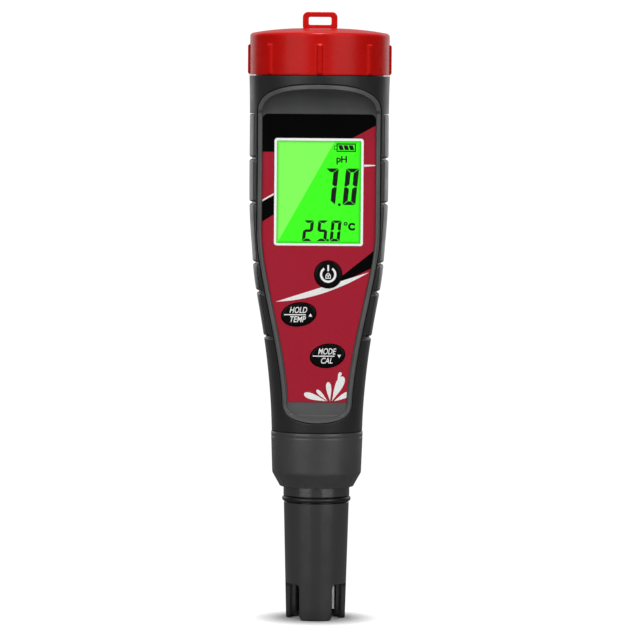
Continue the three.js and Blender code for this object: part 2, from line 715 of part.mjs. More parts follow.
function addDisplay() {
  const w = WINDOW;
  const label = labelOutline(0);
  label.holes.push(roundRect(w.width + 0.3, w.height + 0.3, w.corner, 0, w.z));
  for (const [, x, z, a, b, turn] of KEYS)
    label.holes.push(ellipse(a + KEY_CLEAR, b + KEY_CLEAR, turn, x, z));
  const low = 0.05 - LABEL_POCKET;
  addPiece("label", plate(label, low, low + LABEL_THICK), "label", panel);
  const windowShape = roundRect(w.width, w.height, w.corner, 0, w.z);
  addPiece("display_window", plate(windowShape, -w.thick, 0), "clear", panel);
  const g = GLASS;
  const glass = panelBox(g.width, g.height, g.front, g.front + g.thick, 0, w.z);
  addPiece("lcd_glass", glass, "lcd", panel);
  const b = BACKLIGHT;
  const light = panelBox(b.width, b.height, b.front, b.front + b.thick, 0, b.z);
  addPiece("lcd_backlight", light, "white", panel);
  const strip = panelBox(ZEBRA.width, ZEBRA.height, 3.1, BOARD_FRONT - 0.05, 0, ZEBRA.z);
  addPiece("lcd_connector_strip", strip, "sealRubber", panel);
  addPiece("lcd_holder", lcdHolder(), "white", panel);
}

function addKey([name, x, z, a, b, turn]) {
  const { size, front, plunger } = SWITCH;
  const well = rod(SWITCH.well, -BOARD_FRONT + 0.2, 0, 12).translate([x, z, 0]);
  const base = panelBox(size, size, front, BOARD_FRONT - 0.05, x, z).subtract(well);
  const pin = rod(SWITCH.pin, -front - 0.4, -plunger, 12).translate([x, z, 0]);
  addPiece(name + "_key", key(x, z, a, b, turn), "keyRubber", panel);
  addPiece(name + "_switch", base, "chip", panel);
  addPiece(name + "_plunger", pin, "brass", panel);
}

function addElectronics() {
  const back = BOARD_FRONT + BOARD_THICK + SEATED;
  const onBack = (o) => panelBox(o.width, o.height, back, back + o.thick, 0, o.z);
  addPiece("main_board", mainBoard(), "board", panel);
  addPiece("microcontroller", onBack(CHIP.controller), "chip", panel);
  addPiece("amplifier_chip", onBack(CHIP.amplifier), "chip", panel);
  addPiece("sensor_ribbon", onBack(CHIP.ribbon), "brass", panel);
  SCREW_PLACES.forEach((place, i) =>
    addPiece("board_screw_" + (i + 1), boardScrew(place), "metal", panel),
  );
  KEYS.forEach(addKey);
}

function addBatteries() {
  const floor = CAGE_FLOOR + 2 * SEATED;
  const roof = floor + CELL_CONTACT.thick;
  addPiece("battery_cage", batteryCage(), "cage");
  for (const [name, side] of [["left", -1], ["right", 1]]) {
    const contact = rod(CELL_CONTACT.radius, floor, roof).translate([side * CELL_X, CELL_Y, 0]);
    addPiece("cell_" + name, cell(side), "cellJacket");
    addPiece("cell_contact_" + name, contact, "metal");
  }
  const { radius, wire, turns } = CELL_SPRING;
  const [low, high] = [roof + SEATED, CELL_BOTTOM - SEATED];
  const spring = coil(radius, wire, low, high, turns, -CELL_X, CELL_Y);
  addPiece("cell_spring", spring, "metal");
}

function addCap() {
  const bar = block(CAP_BAR.width, CAP_BAR.depth, CAP_BAR.thick, 0, CELL_Y, CAP_BAR.z);
  addPiece("contact_disc", contactDisc(), "cage");
  addPiece("cap_contact", bar, "brass");
  const { radius, wire, turns } = CAP_SPRING;
  const [low, high] = [CELL_TOP + 2 * SEATED, CAP_BAR.z - CAP_BAR.thick / 2 - SEATED];
  const spring = coil(radius, wire, low, high, turns, CELL_X, CELL_Y);
  const { outer, inner, bottom, top } = CAP_GASKET;
  addPiece("cap_spring", spring, "metal");
  addPiece("cap_gasket", tube(outer, inner, bottom, top), "sealRubber");
  addPiece("battery_cap", batteryCap(), "redPlastic");
}

function addElectrode() {
  const roof = rod(SOCKET.roofR, SOCKET.roof, SOCKET_TOP, SEG);
  const socket = tube(SOCKET.outer, SOCKET.inner, SOCKET.bottom, SOCKET_TOP, SEG).add(roof);
  const washer = tube(WASHER.outer, WASHER.inner, WASHER.bottom, FLANGE.bottom - 0.15);
  addPiece("electrode_socket", socket, "chip");
  addPiece("electrode_collar", collar(), "blackPlastic");
  addPiece("collar_washer", washer, "junction");
  addPiece("electrode_sleeve", electrodeSleeve(), "blackPlastic");
  addPiece("sleeve_oring", torus(ORING.radius, ORING.tube, ORING.z), "sealRubber");
  const s = SPIGOT_GROOVE;
  addPiece("spigot_oring", torus(s.radius, s.tube, s.z), "sealRubber");
  addPiece("glass_electrode", glassElectrode(), "glass");
  addPiece("silver_wire", rod(WIRE.radius, BULB.z, WIRE.top, 8), "metal");
  const bore = SLEEVE_BORE_R - JUNCTION.clear;
  const core = GLASS_TUBE_R + JUNCTION.clear;
  const junction = tube(bore, core, JUNCTION.bottom, JUNCTION.top, SEG / 2);
  addPiece("reference_junction", junction, "junction");
  const sensor = rod(SENSOR.radius, SENSOR.bottom, SENSOR.top, 12)
    .translate([0, -SENSOR.offset, 0])
    .rotate([0, 0, SENSOR.turn]);
  addPiece("temperature_sensor", sensor, "metal");
  const top = SLEEVE_TOP;
  const nose = rod(PLUG.noseR, top - 0.1, top + PLUG.nose);
  addPiece("electrode_plug", rod(bore, PLUG.bottom, top).add(nose), "chip");
  const ringLow = top + PLUG.nose + 0.1;
  let pins = tube(...PINS.ring, ringLow, ringLow + 0.5, SEG / 2);
  for (let i = 0; i < PINS.count; i++) {
    const pin = rod(PINS.radius, ringLow + 0.3, top + PINS.rise, 8).translate([PINS.circle, 0, 0]);
    pins = pins.add(pin.rotate([0, 0, (360 * i) / PINS.count]));
  }
  addPiece("plug_pins", pins, "brass");
}

addCase();
addDisplay();
addElectronics();
addBatteries();
addCap();
addElectrode();

export default meter;
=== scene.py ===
"""Looks of a pen-type pH meter that stands on its probe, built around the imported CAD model.

Shapes are worked out in millimetres and stored in metres, in the CAD frame: +Z up, front towards -Y.
Angles round the tube are measured from the front, positive towards +X.
"""

import math

import bmesh
import bpy
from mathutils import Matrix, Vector
from mathutils.geometry import delaunay_2d_cdt


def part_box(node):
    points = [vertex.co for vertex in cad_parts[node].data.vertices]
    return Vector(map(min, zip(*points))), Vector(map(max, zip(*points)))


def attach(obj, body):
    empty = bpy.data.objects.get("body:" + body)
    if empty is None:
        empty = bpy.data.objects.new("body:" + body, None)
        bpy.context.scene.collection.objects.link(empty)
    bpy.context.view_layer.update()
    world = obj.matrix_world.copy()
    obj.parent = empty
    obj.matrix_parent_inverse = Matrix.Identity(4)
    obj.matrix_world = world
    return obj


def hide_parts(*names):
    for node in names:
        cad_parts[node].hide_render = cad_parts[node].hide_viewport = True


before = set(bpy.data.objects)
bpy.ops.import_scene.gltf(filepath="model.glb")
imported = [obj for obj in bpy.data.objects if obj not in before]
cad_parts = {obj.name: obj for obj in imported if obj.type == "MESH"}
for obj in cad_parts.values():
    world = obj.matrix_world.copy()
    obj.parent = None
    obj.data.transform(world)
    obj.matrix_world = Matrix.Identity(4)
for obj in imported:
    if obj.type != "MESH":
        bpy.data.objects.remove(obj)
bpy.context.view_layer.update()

MM = 0.001
WELD = 5e-7  # points closer than this, in metres, are joined
SHARP = 32  # edges turning by more degrees than this are drawn sharp
TWO_PI = 2 * math.pi


def corners(node):
    """Lowest and highest corner of a CAD node, in millimetres."""
    low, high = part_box(node)
    return [c / MM for c in low], [c / MM for c in high]


# ---------------------------------------------------------------- driving sizes
# housing outside and bore: (radius, height) down the tube
HOUSING_PROFILE = [(19.65, 152.4), (19.45, 142), (19.4, 117), (18.6, 104), (17.85, 95.6)]
HOUSING_PROFILE += [(15.85, 84), (14.6, 76), (13.65, 68), (13.0, 60), (12.7, 53.1)]
HOUSING_TOP = HOUSING_PROFILE[0][1]
HOUSING_END = HOUSING_PROFILE[-1][1]
NECK_BORE = 17.2
TAIL_BORE = 9.0
BORE_PROFILE = [(NECK_BORE, HOUSING_TOP), (17.15, 106), (15.8, 96), (14.0, 85), (12.5, 76)]
BORE_PROFILE += [(11.3, 66), (10.3, 58), (TAIL_BORE, 54.2), (TAIL_BORE, HOUSING_END)]
TAIL_END = corners("housing")[0][2]
NECK_TOP = corners("housing")[1][2]
NECK_ROOT = 17.85
TAIL_ROOT = 10.65
EDGE = 0.28  # usual rounding of a moulded edge
END_EDGE = 0.13  # rounding of the housing's ends, where the cap and the collar meet it
END_STEPS = ((0, 0), (0.01, 0.05), (0.04, 0.09), (END_EDGE, END_EDGE))  # that rounding: (drop, rise)

PANEL = 8.6  # depth of the panel plane in front of the axis
PANEL_END = 57.9
RIM = 9.3
RIM_LEAN = (3.0, 1.9)  # how fast the rim comes forward past the panel, above and below
RIM_WIDTH = 1.12
SEAM = 0.12
COVER_BACK = 7.0
COVER_HALF = 17.0
ARCH_FOOT = 142.0
ARCH_TOP = 149.9
ARCH_POWER = 2.6  # 2 would be an ellipse
FOOT_HALF = 9.7
FOOT_START = 61.2
FOOT_END = 55.85
FOOT_POWER = 2.3
FLANK_TOP = 108.0  # the flanks are straight above this, and narrow below it
FLANK_TURN = 76.5
SCOOP_DEPTH = 19.45
SCOOP_HEIGHT = 6.8
RAMP_STEP = 0.2  # chamfer at the top of the ramp
RAMP_FOOT = 56.2
RAMP_OUT = 12.6
LEDGE_FRONT = 6.3
LEDGE_BACK = 4.8
LEDGE_WIDTH = 1.9
LABEL_HALF = 15.7
LABEL_FRONT = PANEL - 0.05
LABEL_BACK = PANEL - 0.3
POCKET_FLOOR = PANEL - 0.35
LABEL_FOOT = 61.5
LABEL_FOOT_HALF = 8.1
LABEL_CORNER = 1.5

GRIP_LOW, GRIP_HIGH = corners("side_grip_right")[0][2], corners("side_grip_right")[1][2]
GRIP_FROM, GRIP_TO = 68.5, 118.0
GRIP_GAP = 0.15
SEAT_EDGE = 0.6  # how far a grip's seat reaches past it, in degrees
GRIP_THICK = 1.0
GRIP_RADIUS = 17.0  # about its middle, to turn millimetres into degrees
GROOVES = (129.3, 116.9, 100.1, 92.1)
GROOVE_LIP = 0.86  # half width of a groove with its rounded lips
PAD_GROOVE = 0.75  # depth of a groove in a pad, and where it runs on over the housing
HOUSING_GROOVE = 0.6

# keys: name, middle x, middle height, half width, half height, turn in degrees
KEYS = (
    ("power", 2.8, 97.2, 3.75, 3.75, 0),
    ("hold", -5.3, 86.0, 4.8, 3.2, 9),
    ("mode", 2.8, 74.5, 4.8, 3.2, 9),
)
KEY_CLEAR = 0.2
KEY_PROUD = 0.45

WINDOW_LOW, WINDOW_HIGH = corners("display_window")
WINDOW_W = WINDOW_HIGH[0] - WINDOW_LOW[0]
WINDOW_H = WINDOW_HIGH[2] - WINDOW_LOW[2]
WINDOW_Z = (WINDOW_HIGH[2] + WINDOW_LOW[2]) / 2
WINDOW_EDGE = WINDOW_W / 2
BORDER = 0.65  # white border printed on the window
WINDOW_THICK = 1.1


# ---------------------------------------------------------------- small maths
def rad(degrees):
    return math.radians(degrees)


def mix(a, b, t):
    return a + (b - a) * t


def fillet(distance, radius):
    """How far a rounded edge has dropped at a distance in from its border."""
    if distance >= radius:
        return 0.0
    left = radius - max(distance, 0.0)
    return radius - math.sqrt(max(radius * radius - left * left, 0.0))


def smooth_step(low, high, value):
    t = min(max((value - low) / (high - low), 0.0), 1.0)
    return t * t * (3 - 2 * t)


def curve_through(points):
    """Catmull-Rom curve through (radius, height) points."""
    steps = 16
    found = []
    last = len(points) - 1
    for i in range(last):
        around = [points[max(i - 1, 0)], points[i], points[i + 1], points[min(i + 2, last)]]
        for s in range(steps):
            t = s / steps
            place = []
            for a, b, c, d in zip(*around):
                linear = 2 * b + (c - a) * t
                square = (2 * a - 5 * b + 4 * c - d) * t * t
                cube = (-a + 3 * b - 3 * c + d) * t**3
                place.append(0.5 * (linear + square + cube))
            found.append(tuple(place))
    return found + [points[-1]]


def radius_at(table, z):
    """Radius of a (radius, height) table at a height."""
    for (r1, z1), (r2, z2) in zip(table, table[1:]):
        if z >= z2:
            return mix(r1, r2, min(max((z1 - z) / (z1 - z2), 0.0), 1.0))
    return table[-1][0]


HOUSING_TABLE = curve_through(HOUSING_PROFILE)


def skin(z):
    """Radius of the housing's outside at a height."""
    return radius_at(HOUSING_TABLE, z)


def bore(z):
    return radius_at(BORE_PROFILE, z)


def polar(degrees, radius, z, x=0.0, y=0.0):
    """Place at an angle round an upright axis, which stands at x, y."""
    a = rad(degrees)
    return (x + radius * math.sin(a), y - radius * math.cos(a), z)


def spread(low, high, count):
    """Evenly spaced numbers from low to high, count steps apart."""
    return [mix(low, high, i / count) for i in range(count + 1)]


def turned_row(turns, radius, z):
    return [polar(a, radius, z) for a in turns]


def at_depth(loop, depth):
    """Places of (x, z) points at a depth in front of the axis."""
    return [(x, -depth, z) for x, z in loop]


def super_ellipse(width, height, degrees, power):
    """Point of a rounded corner; a power of 2 is an ellipse, and a higher one is squarer."""
    a = rad(degrees)
    x = 0.0 if degrees == 90 else width * math.cos(a) ** (2 / power)
    return x, height * math.sin(a) ** (2 / power)


def inside(x, z, loop):
    """Whether a point lies inside a closed loop of (x, z) points."""
    hit = False
    for (x1, z1), (x2, z2) in zip(loop, loop[1:] + loop[:1]):
        if (z1 > z) != (z2 > z) and x < (x2 - x1) * (z - z1) / (z2 - z1) + x1:
            hit = not hit
    return hit


# ---------------------------------------------------------------- meshes
class Shape:
    """Points in millimetres and faces, each with the number of its material."""

    def __init__(self):
        self.points = []
        self.faces = []
        self.kinds = []

    def add(self, face, kind=0):
        self.faces.append(face)
        self.kinds.append(kind)

    def face(self, places):
        start = len(self.points)
        self.points += places
        self.add(tuple(range(start, start + len(places))))

    def grid(self, rows, around=False, kind=0):
        """Quads between rows of points of one length. Kind may depend on the row."""
        start = len(self.points)
        width = len(rows[0])
        for row in rows:
            self.points += row
        spans = width if around else width - 1
        for j in range(len(rows) - 1):
            low = start + j * width
            high = low + width
            for i in range(spans):
                k = (i + 1) % width
                self.add((low + i, low + k, high + k, high + i), kind(j) if callable(kind) else kind)

    def fan(self, ring, middle):
        start = len(self.points)
        self.points += list(ring) + [middle]
        count = len(ring)
        for i in range(count):
            self.add((start + i, start + (i + 1) % count, start + count))

    def flat(self, depth, outline, holes=(), lines=(), kind=None):
        """Triangles over a flat region at a depth in front of the axis, from (x, z) loops.

        Returns the number of its first point and the edges that have a triangle on one side only.
        """
        verts = []
        edges = []
        for loop in (outline, *holes, *lines):
            start = len(verts)
            verts += [Vector(p) for p in loop]
            count = len(loop)
            edges += [(start + i, start + (i + 1) % count) for i in range(count)]
        found = delaunay_2d_cdt(verts, edges, [], 0, 1e-6)
        start = len(self.points)
        self.points += [(v.x, -depth, v.y) for v in found[0]]
        borders = {}
        for triangle in found[2]:
            x = sum(found[0][i].x for i in triangle) / 3
            z = sum(found[0][i].y for i in triangle) / 3
            if not inside(x, z, outline) or any(inside(x, z, hole) for hole in holes):
                continue
            self.add(tuple(start + i for i in triangle), kind(x, z) if kind else 0)
            for i, j in zip(triangle, triangle[1:] + triangle[:1]):
                borders[(i, j)] = (j, i) not in borders
                if (j, i) in borders:
                    borders[(j, i)] = borders[(i, j)] = False
        return start, [edge for edge, alone in borders.items() if alone]

    def sheet(self, front, back, outline, holes=(), lines=(), kind=None):
        """Closed thin sheet between two depths in front of the axis."""
        ahead, rim = self.flat(front, outline, holes, lines, kind)
        behind, _ = self.flat(back, outline, holes, lines)
        for i, j in rim:
            self.add((ahead + i, ahead + j, behind + j, behind + i))

    def prism(self, loop, front, back):
        """Straight-sided plate between two depths in front of the axis."""
        rows = [at_depth(loop, front), at_depth(loop, back)]
        self.grid(rows, around=True)
        for row in rows:
            self.face(row)

    def add_mesh(self, mesh, place):
        start = len(self.points)
        self.points += [place(*v.co) for v in mesh.vertices]
        for polygon in mesh.polygons:
            self.add(tuple(start + i for i in polygon.vertices))


def turned_shape(profile, sides=144, x=0.0, y=0.0, kind=0):
    """Turned shape from (radius, height) points. Ends on the axis are closed."""
    shape = Shape()
    turns = [360 * i / sides for i in range(sides)]
    shape.grid([[polar(a, r, z, x, y) for a in turns] for r, z in profile], around=True, kind=kind)
    return shape


def show(name, data):
    """An object in the scene, for a mesh, a light or a camera."""
    made = bpy.data.objects.new(name, data)
    bpy.context.scene.collection.objects.link(made)
    return made


def make_piece(name, shape, materials, body, replaced=()):
    mesh = bpy.data.meshes.new(name)
    mesh.from_pydata([[c * MM for c in p] for p in shape.points], [], shape.faces)
    for made in materials:
        mesh.materials.append(made)
    mesh.polygons.foreach_set("material_index", shape.kinds)
    work = bmesh.new()
    work.from_mesh(mesh)
    bmesh.ops.remove_doubles(work, verts=work.verts, dist=WELD)
    bmesh.ops.dissolve_degenerate(work, edges=work.edges, dist=WELD / 2)
    bmesh.ops.recalc_face_normals(work, faces=work.faces)
    work.to_mesh(mesh)
    work.free()
    mesh.shade_smooth()
    mesh.set_sharp_from_angle(angle=rad(SHARP))
    piece = show(name, mesh)
    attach(piece, body)
    if replaced:
        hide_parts(*replaced)


# ---------------------------------------------------------------- materials
class Tree:
    """A node tree and short ways to fill it."""

    def __init__(self, tree):
        self.tree = tree

    def add(self, kind, **values):
        node = self.tree.nodes.new(kind)
        for key, value in values.items():
            setattr(node, key, value)
        return node

    def join(self, output, target):
        self.tree.links.new(output, target)

    def feed(self, kind, *given, **values):
        """A node whose first inputs are joined to outputs or set to values; gives its first output."""
        node = self.add(kind, **values)
        for source, target in zip(given, node.inputs):
            if isinstance(source, bpy.types.NodeSocket):
                self.join(source, target)
            else:
                target.default_value = source
        return node.outputs[0]

    def by_ray(self, unseen, seen):
        """One shader for the camera's own rays and another for all other rays."""
        path = self.add("ShaderNodeLightPath")
        return self.feed("ShaderNodeMixShader", path.outputs["Is Camera Ray"], unseen, seen)


LULL, PEAK = 0.3, 0.7


class Nodes(Tree):
    """A Principled material with a few procedural layers."""

    def __init__(self, name, roughness, metallic=0.0, ior=1.5):
        self.made = bpy.data.materials.new(name)
        self.made.use_nodes = True
        super().__init__(self.made.node_tree)
        self.shader = self.tree.nodes["Principled BSDF"]
        self.set("Roughness", roughness)
        self.set("Metallic", metallic)
        self.set("IOR", ior)
        self.place = self.add("ShaderNodeTexCoord").outputs["Object"]

    def set(self, socket, value):
        self.shader.inputs[socket].default_value = value

    def glow(self, colour, strength):
        self.set("Emission Color", (*colour, 1))
        self.set("Emission Strength", strength)

    def noise(self, size, detail=2.0, rough=0.5, stretch=None):
        """Noise whose features are about `size` millimetres across."""
        node = self.add("ShaderNodeTexNoise")
        node.inputs["Scale"].default_value = 1 / (size * MM)
        node.inputs["Detail"].default_value = detail
        node.inputs["Roughness"].default_value = rough
        source = self.place
        if stretch:
            turn = self.add("ShaderNodeMapping")
            turn.inputs["Scale"].default_value = stretch
            self.join(source, turn.inputs["Vector"])
            source = turn.outputs["Vector"]
        self.join(source, node.inputs["Vector"])
        return node.outputs["Fac"]

    def colours(self, low, high, factor):
        """Base colour between two tones, by a noise whose values lie mostly between LULL and PEAK."""
        ramp = self.add("ShaderNodeValToRGB")
        for stop, position, colour in zip(ramp.color_ramp.elements, (LULL, PEAK), (low, high)):
            stop.position = position
            stop.color = (*colour, 1)
        self.join(factor, ramp.inputs["Fac"])
        self.join(ramp.outputs["Color"], self.shader.inputs["Base Color"])

    def roughness(self, low, high, factor):
        value = self.feed("ShaderNodeMapRange", factor, LULL, PEAK, low, high)
        self.join(value, self.shader.inputs["Roughness"])

    def bump(self, height, strength, factor, after=None):
        node = self.add("ShaderNodeBump")
        node.inputs["Strength"].default_value = strength
        node.inputs["Distance"].default_value = height * MM
        self.join(factor, node.inputs["Height"])
        if after:
            self.join(after, node.inputs["Normal"])
        self.join(node.outputs["Normal"], self.shader.inputs["Normal"])
        return node.outputs["Normal"]


def grey(value):
    return (value, value, value, 1)


def tone(colour, factor):
    """A lighter or darker tone of a colour."""
    return tuple(min(c * factor, 1.0) for c in colour)


def moulded(name, colour, roughness, grain=0.16, depth=0.012, strength=0.35, vary=0.12, shine=0.5, ior=1.5):
    """Moulded plastic or rubber: spark-eroded grain, slow change of tone and gloss."""
    n = Nodes(name, roughness, ior=ior)
    n.set("Specular IOR Level", shine)
    n.colours(tone(colour, 1 - vary), tone(colour, 1 + vary), n.noise(9.0, 4.0))
    n.roughness(roughness * 0.88, roughness * 1.12, n.noise(3.5, 3.0))
    first = n.bump(depth * 3, strength * 0.5, n.noise(grain * 6, 2.0))
    n.bump(depth, strength, n.noise(grain, 2.0, 0.6), first)
    return n.made


def metal(name, colour, roughness):
    """Metal with faint drawn lines along its height."""
    drawn = (1, 1, 0.08)
    n = Nodes(name, roughness, metallic=1.0)
    n.colours(tone(colour, 0.9), colour, n.noise(2.0, 4.0))
    n.roughness(roughness * 0.8, roughness * 1.3, n.noise(0.25, 3.0, stretch=drawn))
    n.bump(0.006, 0.25, n.noise(0.12, 2.0, stretch=drawn))
    return n.made


def printed(name, colour, roughness=0.38, shine=0.12, painted_glow=0.0):
    """Screen-printed film: fine stipple under a satin varnish, and a painted glow (emission) that makes it
    look more brightly lit.
    """
    n = Nodes(name, roughness)
    n.set("Specular IOR Level", shine)
    # painted glow: emission that makes the print look more brightly lit than its colour
    n.glow(colour, painted_glow)
    n.colours(tone(colour, 0.95), tone(colour, 1.05), n.noise(0.5, 3.0))
    n.roughness(roughness * 0.9, roughness * 1.15, n.noise(6.0, 3.0))
    n.bump(0.006, 0.2, n.noise(0.22, 2.0))
    return n.made


def glowing(name, colour, strength):
    """Backlit liquid-crystal glass."""
    n = Nodes(name, 0.12)
    n.colours(tone(colour, 0.25), tone(colour, 0.32), n.noise(0.4, 3.0))
    n.roughness(0.1, 0.16, n.noise(4.0, 2.0))
    n.glow(colour, strength)
    return n.made


def clear(name, tint, roughness=0.03, ior=1.49):
    """Clear plastic or glass with faint waves."""
    n = Nodes(name, roughness, ior=ior)
    n.colours(tone(tint, 0.98), tint, n.noise(8.0, 2.0))
    n.roughness(roughness * 0.7, roughness * 1.3, n.noise(5.0, 3.0))
    n.bump(0.004, 0.08, n.noise(6.0, 1.0))
    n.set("Transmission Weight", 1.0)
    return n.made


BODY = moulded("body_plastic", (0.026, 0.0262, 0.0263), 0.34, shine=0.22)
COVER = moulded("cover_plastic", (0.1, 0.1005, 0.1005), 0.33, shine=0.3)
COLLAR = moulded("collar_plastic", (0.056, 0.0563, 0.0563), 0.34)
SLEEVE = moulded("sleeve_plastic", (0.012, 0.0121, 0.0122), 0.18, shine=1.0, ior=1.75)
GRIP = moulded("grip_rubber", (0.016, 0.016, 0.0163), 0.3, grain=0.22, depth=0.012)
CAP = moulded("cap_plastic", (0.55, 0.0062, 0.0042), 0.27, depth=0.006, strength=0.2, vary=0.06, shine=0.12)
CRIMSON = printed("label_crimson", (0.41, 0.0150, 0.0355))
BLACK_INK = printed("label_black", (0.0018, 0.0018, 0.002), 0.42, shine=0.03)
# white label print with a painted glow that brightens it
WHITE_INK = printed("label_white", (0.84, 0.85, 0.84), 0.4, painted_glow=0.08)
# white border print with a stronger painted glow that brightens it
BORDER_INK = printed("window_border", (0.86, 0.87, 0.86), 0.4, painted_glow=0.22)
KEY_RUBBER = moulded("key_rubber", (0.003, 0.003, 0.0031), 0.3, grain=0.3, depth=0.003, shine=0.1)
# white key legends with a painted glow that brightens them
LEGEND = printed("key_legend", (0.86, 0.86, 0.86), 0.4, painted_glow=0.1)
WINDOW = clear("clear_window", (0.98, 1.0, 0.98))
# painted shade: the backlit green darkened in steps from the middle out to the window's border, as if the
# border shaded the glass
LCD_PAINTED_SHADE = (1, 0.88, 0.74, 0.58)
# backlit green with its painted-shade steps, then the same again under the painted glare (a painted
# reflection)
LCD = [
    glowing("%s_%d" % (name, i), tone(colour, shade), 1.1)
    for name, colour in (("lcd_green", (0.034, 0.93, 0.0)), ("lcd_green_sheen", (0.19, 0.93, 0.085)))
    for i, shade in enumerate(LCD_PAINTED_SHADE)
]
LCD_INK = printed("lcd_segment", (0.0008, 0.0016, 0.0006), 0.5, shine=0.02)
SEAL = moulded("seal_rubber", (0.006, 0.006, 0.006), 0.42, grain=0.1, depth=0.006)
WHITE_PLASTIC = moulded("white_plastic", (0.72, 0.72, 0.70), 0.45, vary=0.04)
INNER = moulded("inner_plastic", (0.075, 0.08, 0.085), 0.5)
CIRCUIT = moulded("circuit_board", (0.012, 0.11, 0.035), 0.42, grain=0.5, vary=0.2)
CHIP = moulded("chip_epoxy", (0.014, 0.014, 0.015), 0.5)
STEEL = metal("plated_steel", (0.62, 0.62, 0.6), 0.3)
BRASS = metal("contact_brass", (0.72, 0.5, 0.2), 0.3)
COPPER = metal("ribbon_copper", (0.7, 0.36, 0.14), 0.4)
JACKET = moulded("cell_jacket", (0.018, 0.075, 0.26), 0.28, depth=0.004, vary=0.08)
CERAMIC = moulded("reference_ceramic", (0.78, 0.75, 0.68), 0.7, vary=0.05)
GLASS = clear("electrode_glass", (0.93, 0.99, 0.97), 0.02, 1.5)


# ---------------------------------------------------------------- panel outlines
def bezier_side(top_half, foot_half, pull, foot_z):
    """Half width by height on a flank that narrows downwards."""
    xs = (top_half, top_half, foot_half + pull, foot_half)
    zs = (FLANK_TOP, FLANK_TOP - 10, FLANK_TURN, foot_z)

    def at(values, t):
        u = 1 - t
        a, b, c, d = values
        return a * u**3 + 3 * b * u * u * t + 3 * c * u * t * t + d * t**3

    def half(z):
        if z >= FLANK_TOP:
            return top_half
        low, high = 0.0, 1.0
        for _ in range(40):
            t = (low + high) / 2
            low, high = (t, high) if at(zs, t) > z else (low, t)
        return at(xs, low)

    return half


ARCH_STEPS = 28
ARCH_CORNER = 14


def foot_angle(z):
    """Angle on the inside of the rim's rounded foot at a height."""
    share = (FOOT_START - z) / (FOOT_START - FOOT_END - RIM_WIDTH)
    return math.degrees(math.asin(share ** (FOOT_POWER / 2)))


RAMP_TOP = foot_angle(PANEL_END - RAMP_STEP)
FOOT_STEPS = 8  # steps round the foot's corner, beside the panel
TOE_STEPS = 10  # and on round the toe, beside the ramp
FOOT_ANGLES = spread(0, foot_angle(PANEL_END), FOOT_STEPS) + [RAMP_TOP]
FOOT_ANGLES += spread(RAMP_TOP + 3, 90, TOE_STEPS)
SEAT_LOW, SEAT_HIGH = GRIP_LOW - GRIP_GAP, GRIP_HIGH + GRIP_GAP
LINES = GROOVES + (SEAT_LOW,)  # grooves on the housing; the last one ends the pads
GROOVE_STEPS = (0.1, 0.25, 0.38, 0.52, 0.68, GROOVE_LIP)


def off_grooves(heights):
    return [z for z in heights if all(abs(z - g) > 1.0 for g in GROOVES)]


SIDE_Z = off_grooves(spread(ARCH_FOOT - 1.0, SEAT_LOW + 1.5, 36))
SIDE_Z += [g + s * d for g in LINES for d in GROOVE_STEPS for s in (-1, 1)]
SIDE_Z += [end + s * 0.03 for end in (SEAT_HIGH, SEAT_LOW) for s in (1, -1)]
SIDE_Z += spread(SEAT_LOW - 1.5, FOOT_START + 1.0, 10)
SIDE_Z.sort(reverse=True)


def cover_side(grow):
    """Right half of the cover's outline, from the top of the arch to the foot."""
    half, foot = COVER_HALF + grow, FOOT_HALF + grow
    side = []
    for degrees in spread(90, 0, ARCH_STEPS):
        x, rise = super_ellipse(half, ARCH_TOP + grow - ARCH_FOOT, degrees, ARCH_POWER)
        side.append((x, ARCH_FOOT + rise))
    width = bezier_side(half, foot, 0.6, FOOT_START)
    side += [(width(z), z) for z in SIDE_Z]
    for degrees in FOOT_ANGLES:
        x, fall = super_ellipse(foot, FOOT_START - FOOT_END + grow, degrees, FOOT_POWER)
        side.append((x, FOOT_START - fall))
    return side


def both_sides(side):
    """Closed loop from the points on its right side, which start and end on the middle line."""
    return side + [(-x, z) for x, z in reversed(side[1:-1])]


def cover_loop(grow):
    """The cover's outline, made larger all round."""
    return both_sides(cover_side(grow))


def label_side(grow):
    """Right half of the label's outline: straight top with round corners, straight foot."""
    half, foot = LABEL_HALF + grow, LABEL_FOOT_HALF + grow
    top = ARCH_FOOT - 0.25 + grow
    side = [(0.0, top)]
    for a in spread(90, 0, 8):
        x = half - LABEL_CORNER + LABEL_CORNER * math.cos(rad(a))
        side.append((x, top - LABEL_CORNER + LABEL_CORNER * math.sin(rad(a))))
    width = bezier_side(half, foot, 0.5, LABEL_FOOT)
    side += [(width(z), z) for z in SIDE_Z if LABEL_FOOT + 0.5 < z < top - LABEL_CORNER - 0.3]
    return side + [(foot, LABEL_FOOT - grow), (0.0, LABEL_FOOT - grow)]


def label_loop(grow):
    return both_sides(label_side(grow))


def ellipse_loop(x, z, a, b, turn, count=72):
    """Ellipse with half axes a and b, turned by an angle in degrees."""
    c, s = math.cos(rad(turn)), math.sin(rad(turn))
    loop = []
    for i in range(count):
        u, v = a * math.cos(TWO_PI * i / count), b * math.sin(TWO_PI * i / count)
        loop.append((x + u * c - v * s, z + u * s + v * c))
    return loop


def round_rect(width, height, corner, x=0.0, z=0.0, steps=6):
    """Rectangle with round corners, with its middle at x, z."""
    loop = []
    for k, (sx, sz) in enumerate(((1, 1), (-1, 1), (-1, -1), (1, -1))):
        for a in spread(90 * k, 90 * k + 90, steps):
            px = sx * (width / 2 - corner) + corner * math.cos(rad(a))
            pz = sz * (height / 2 - corner) + corner * math.sin(rad(a))
            loop.append((x + px, z + pz))
    return loop


def window_loop(grow, corner, steps=6):
    return round_rect(WINDOW_W + 2 * grow, WINDOW_H + 2 * grow, corner, 0, WINDOW_Z, steps)


WINDOW_SEAT = window_loop(0.2, 0.9)
WINDOW_HOLE = window_loop(-0.45, 0.5)
KEY_HOLES = [ellipse_loop(x, z, a + KEY_CLEAR, b + KEY_CLEAR, turn) for _, x, z, a, b, turn in KEYS]


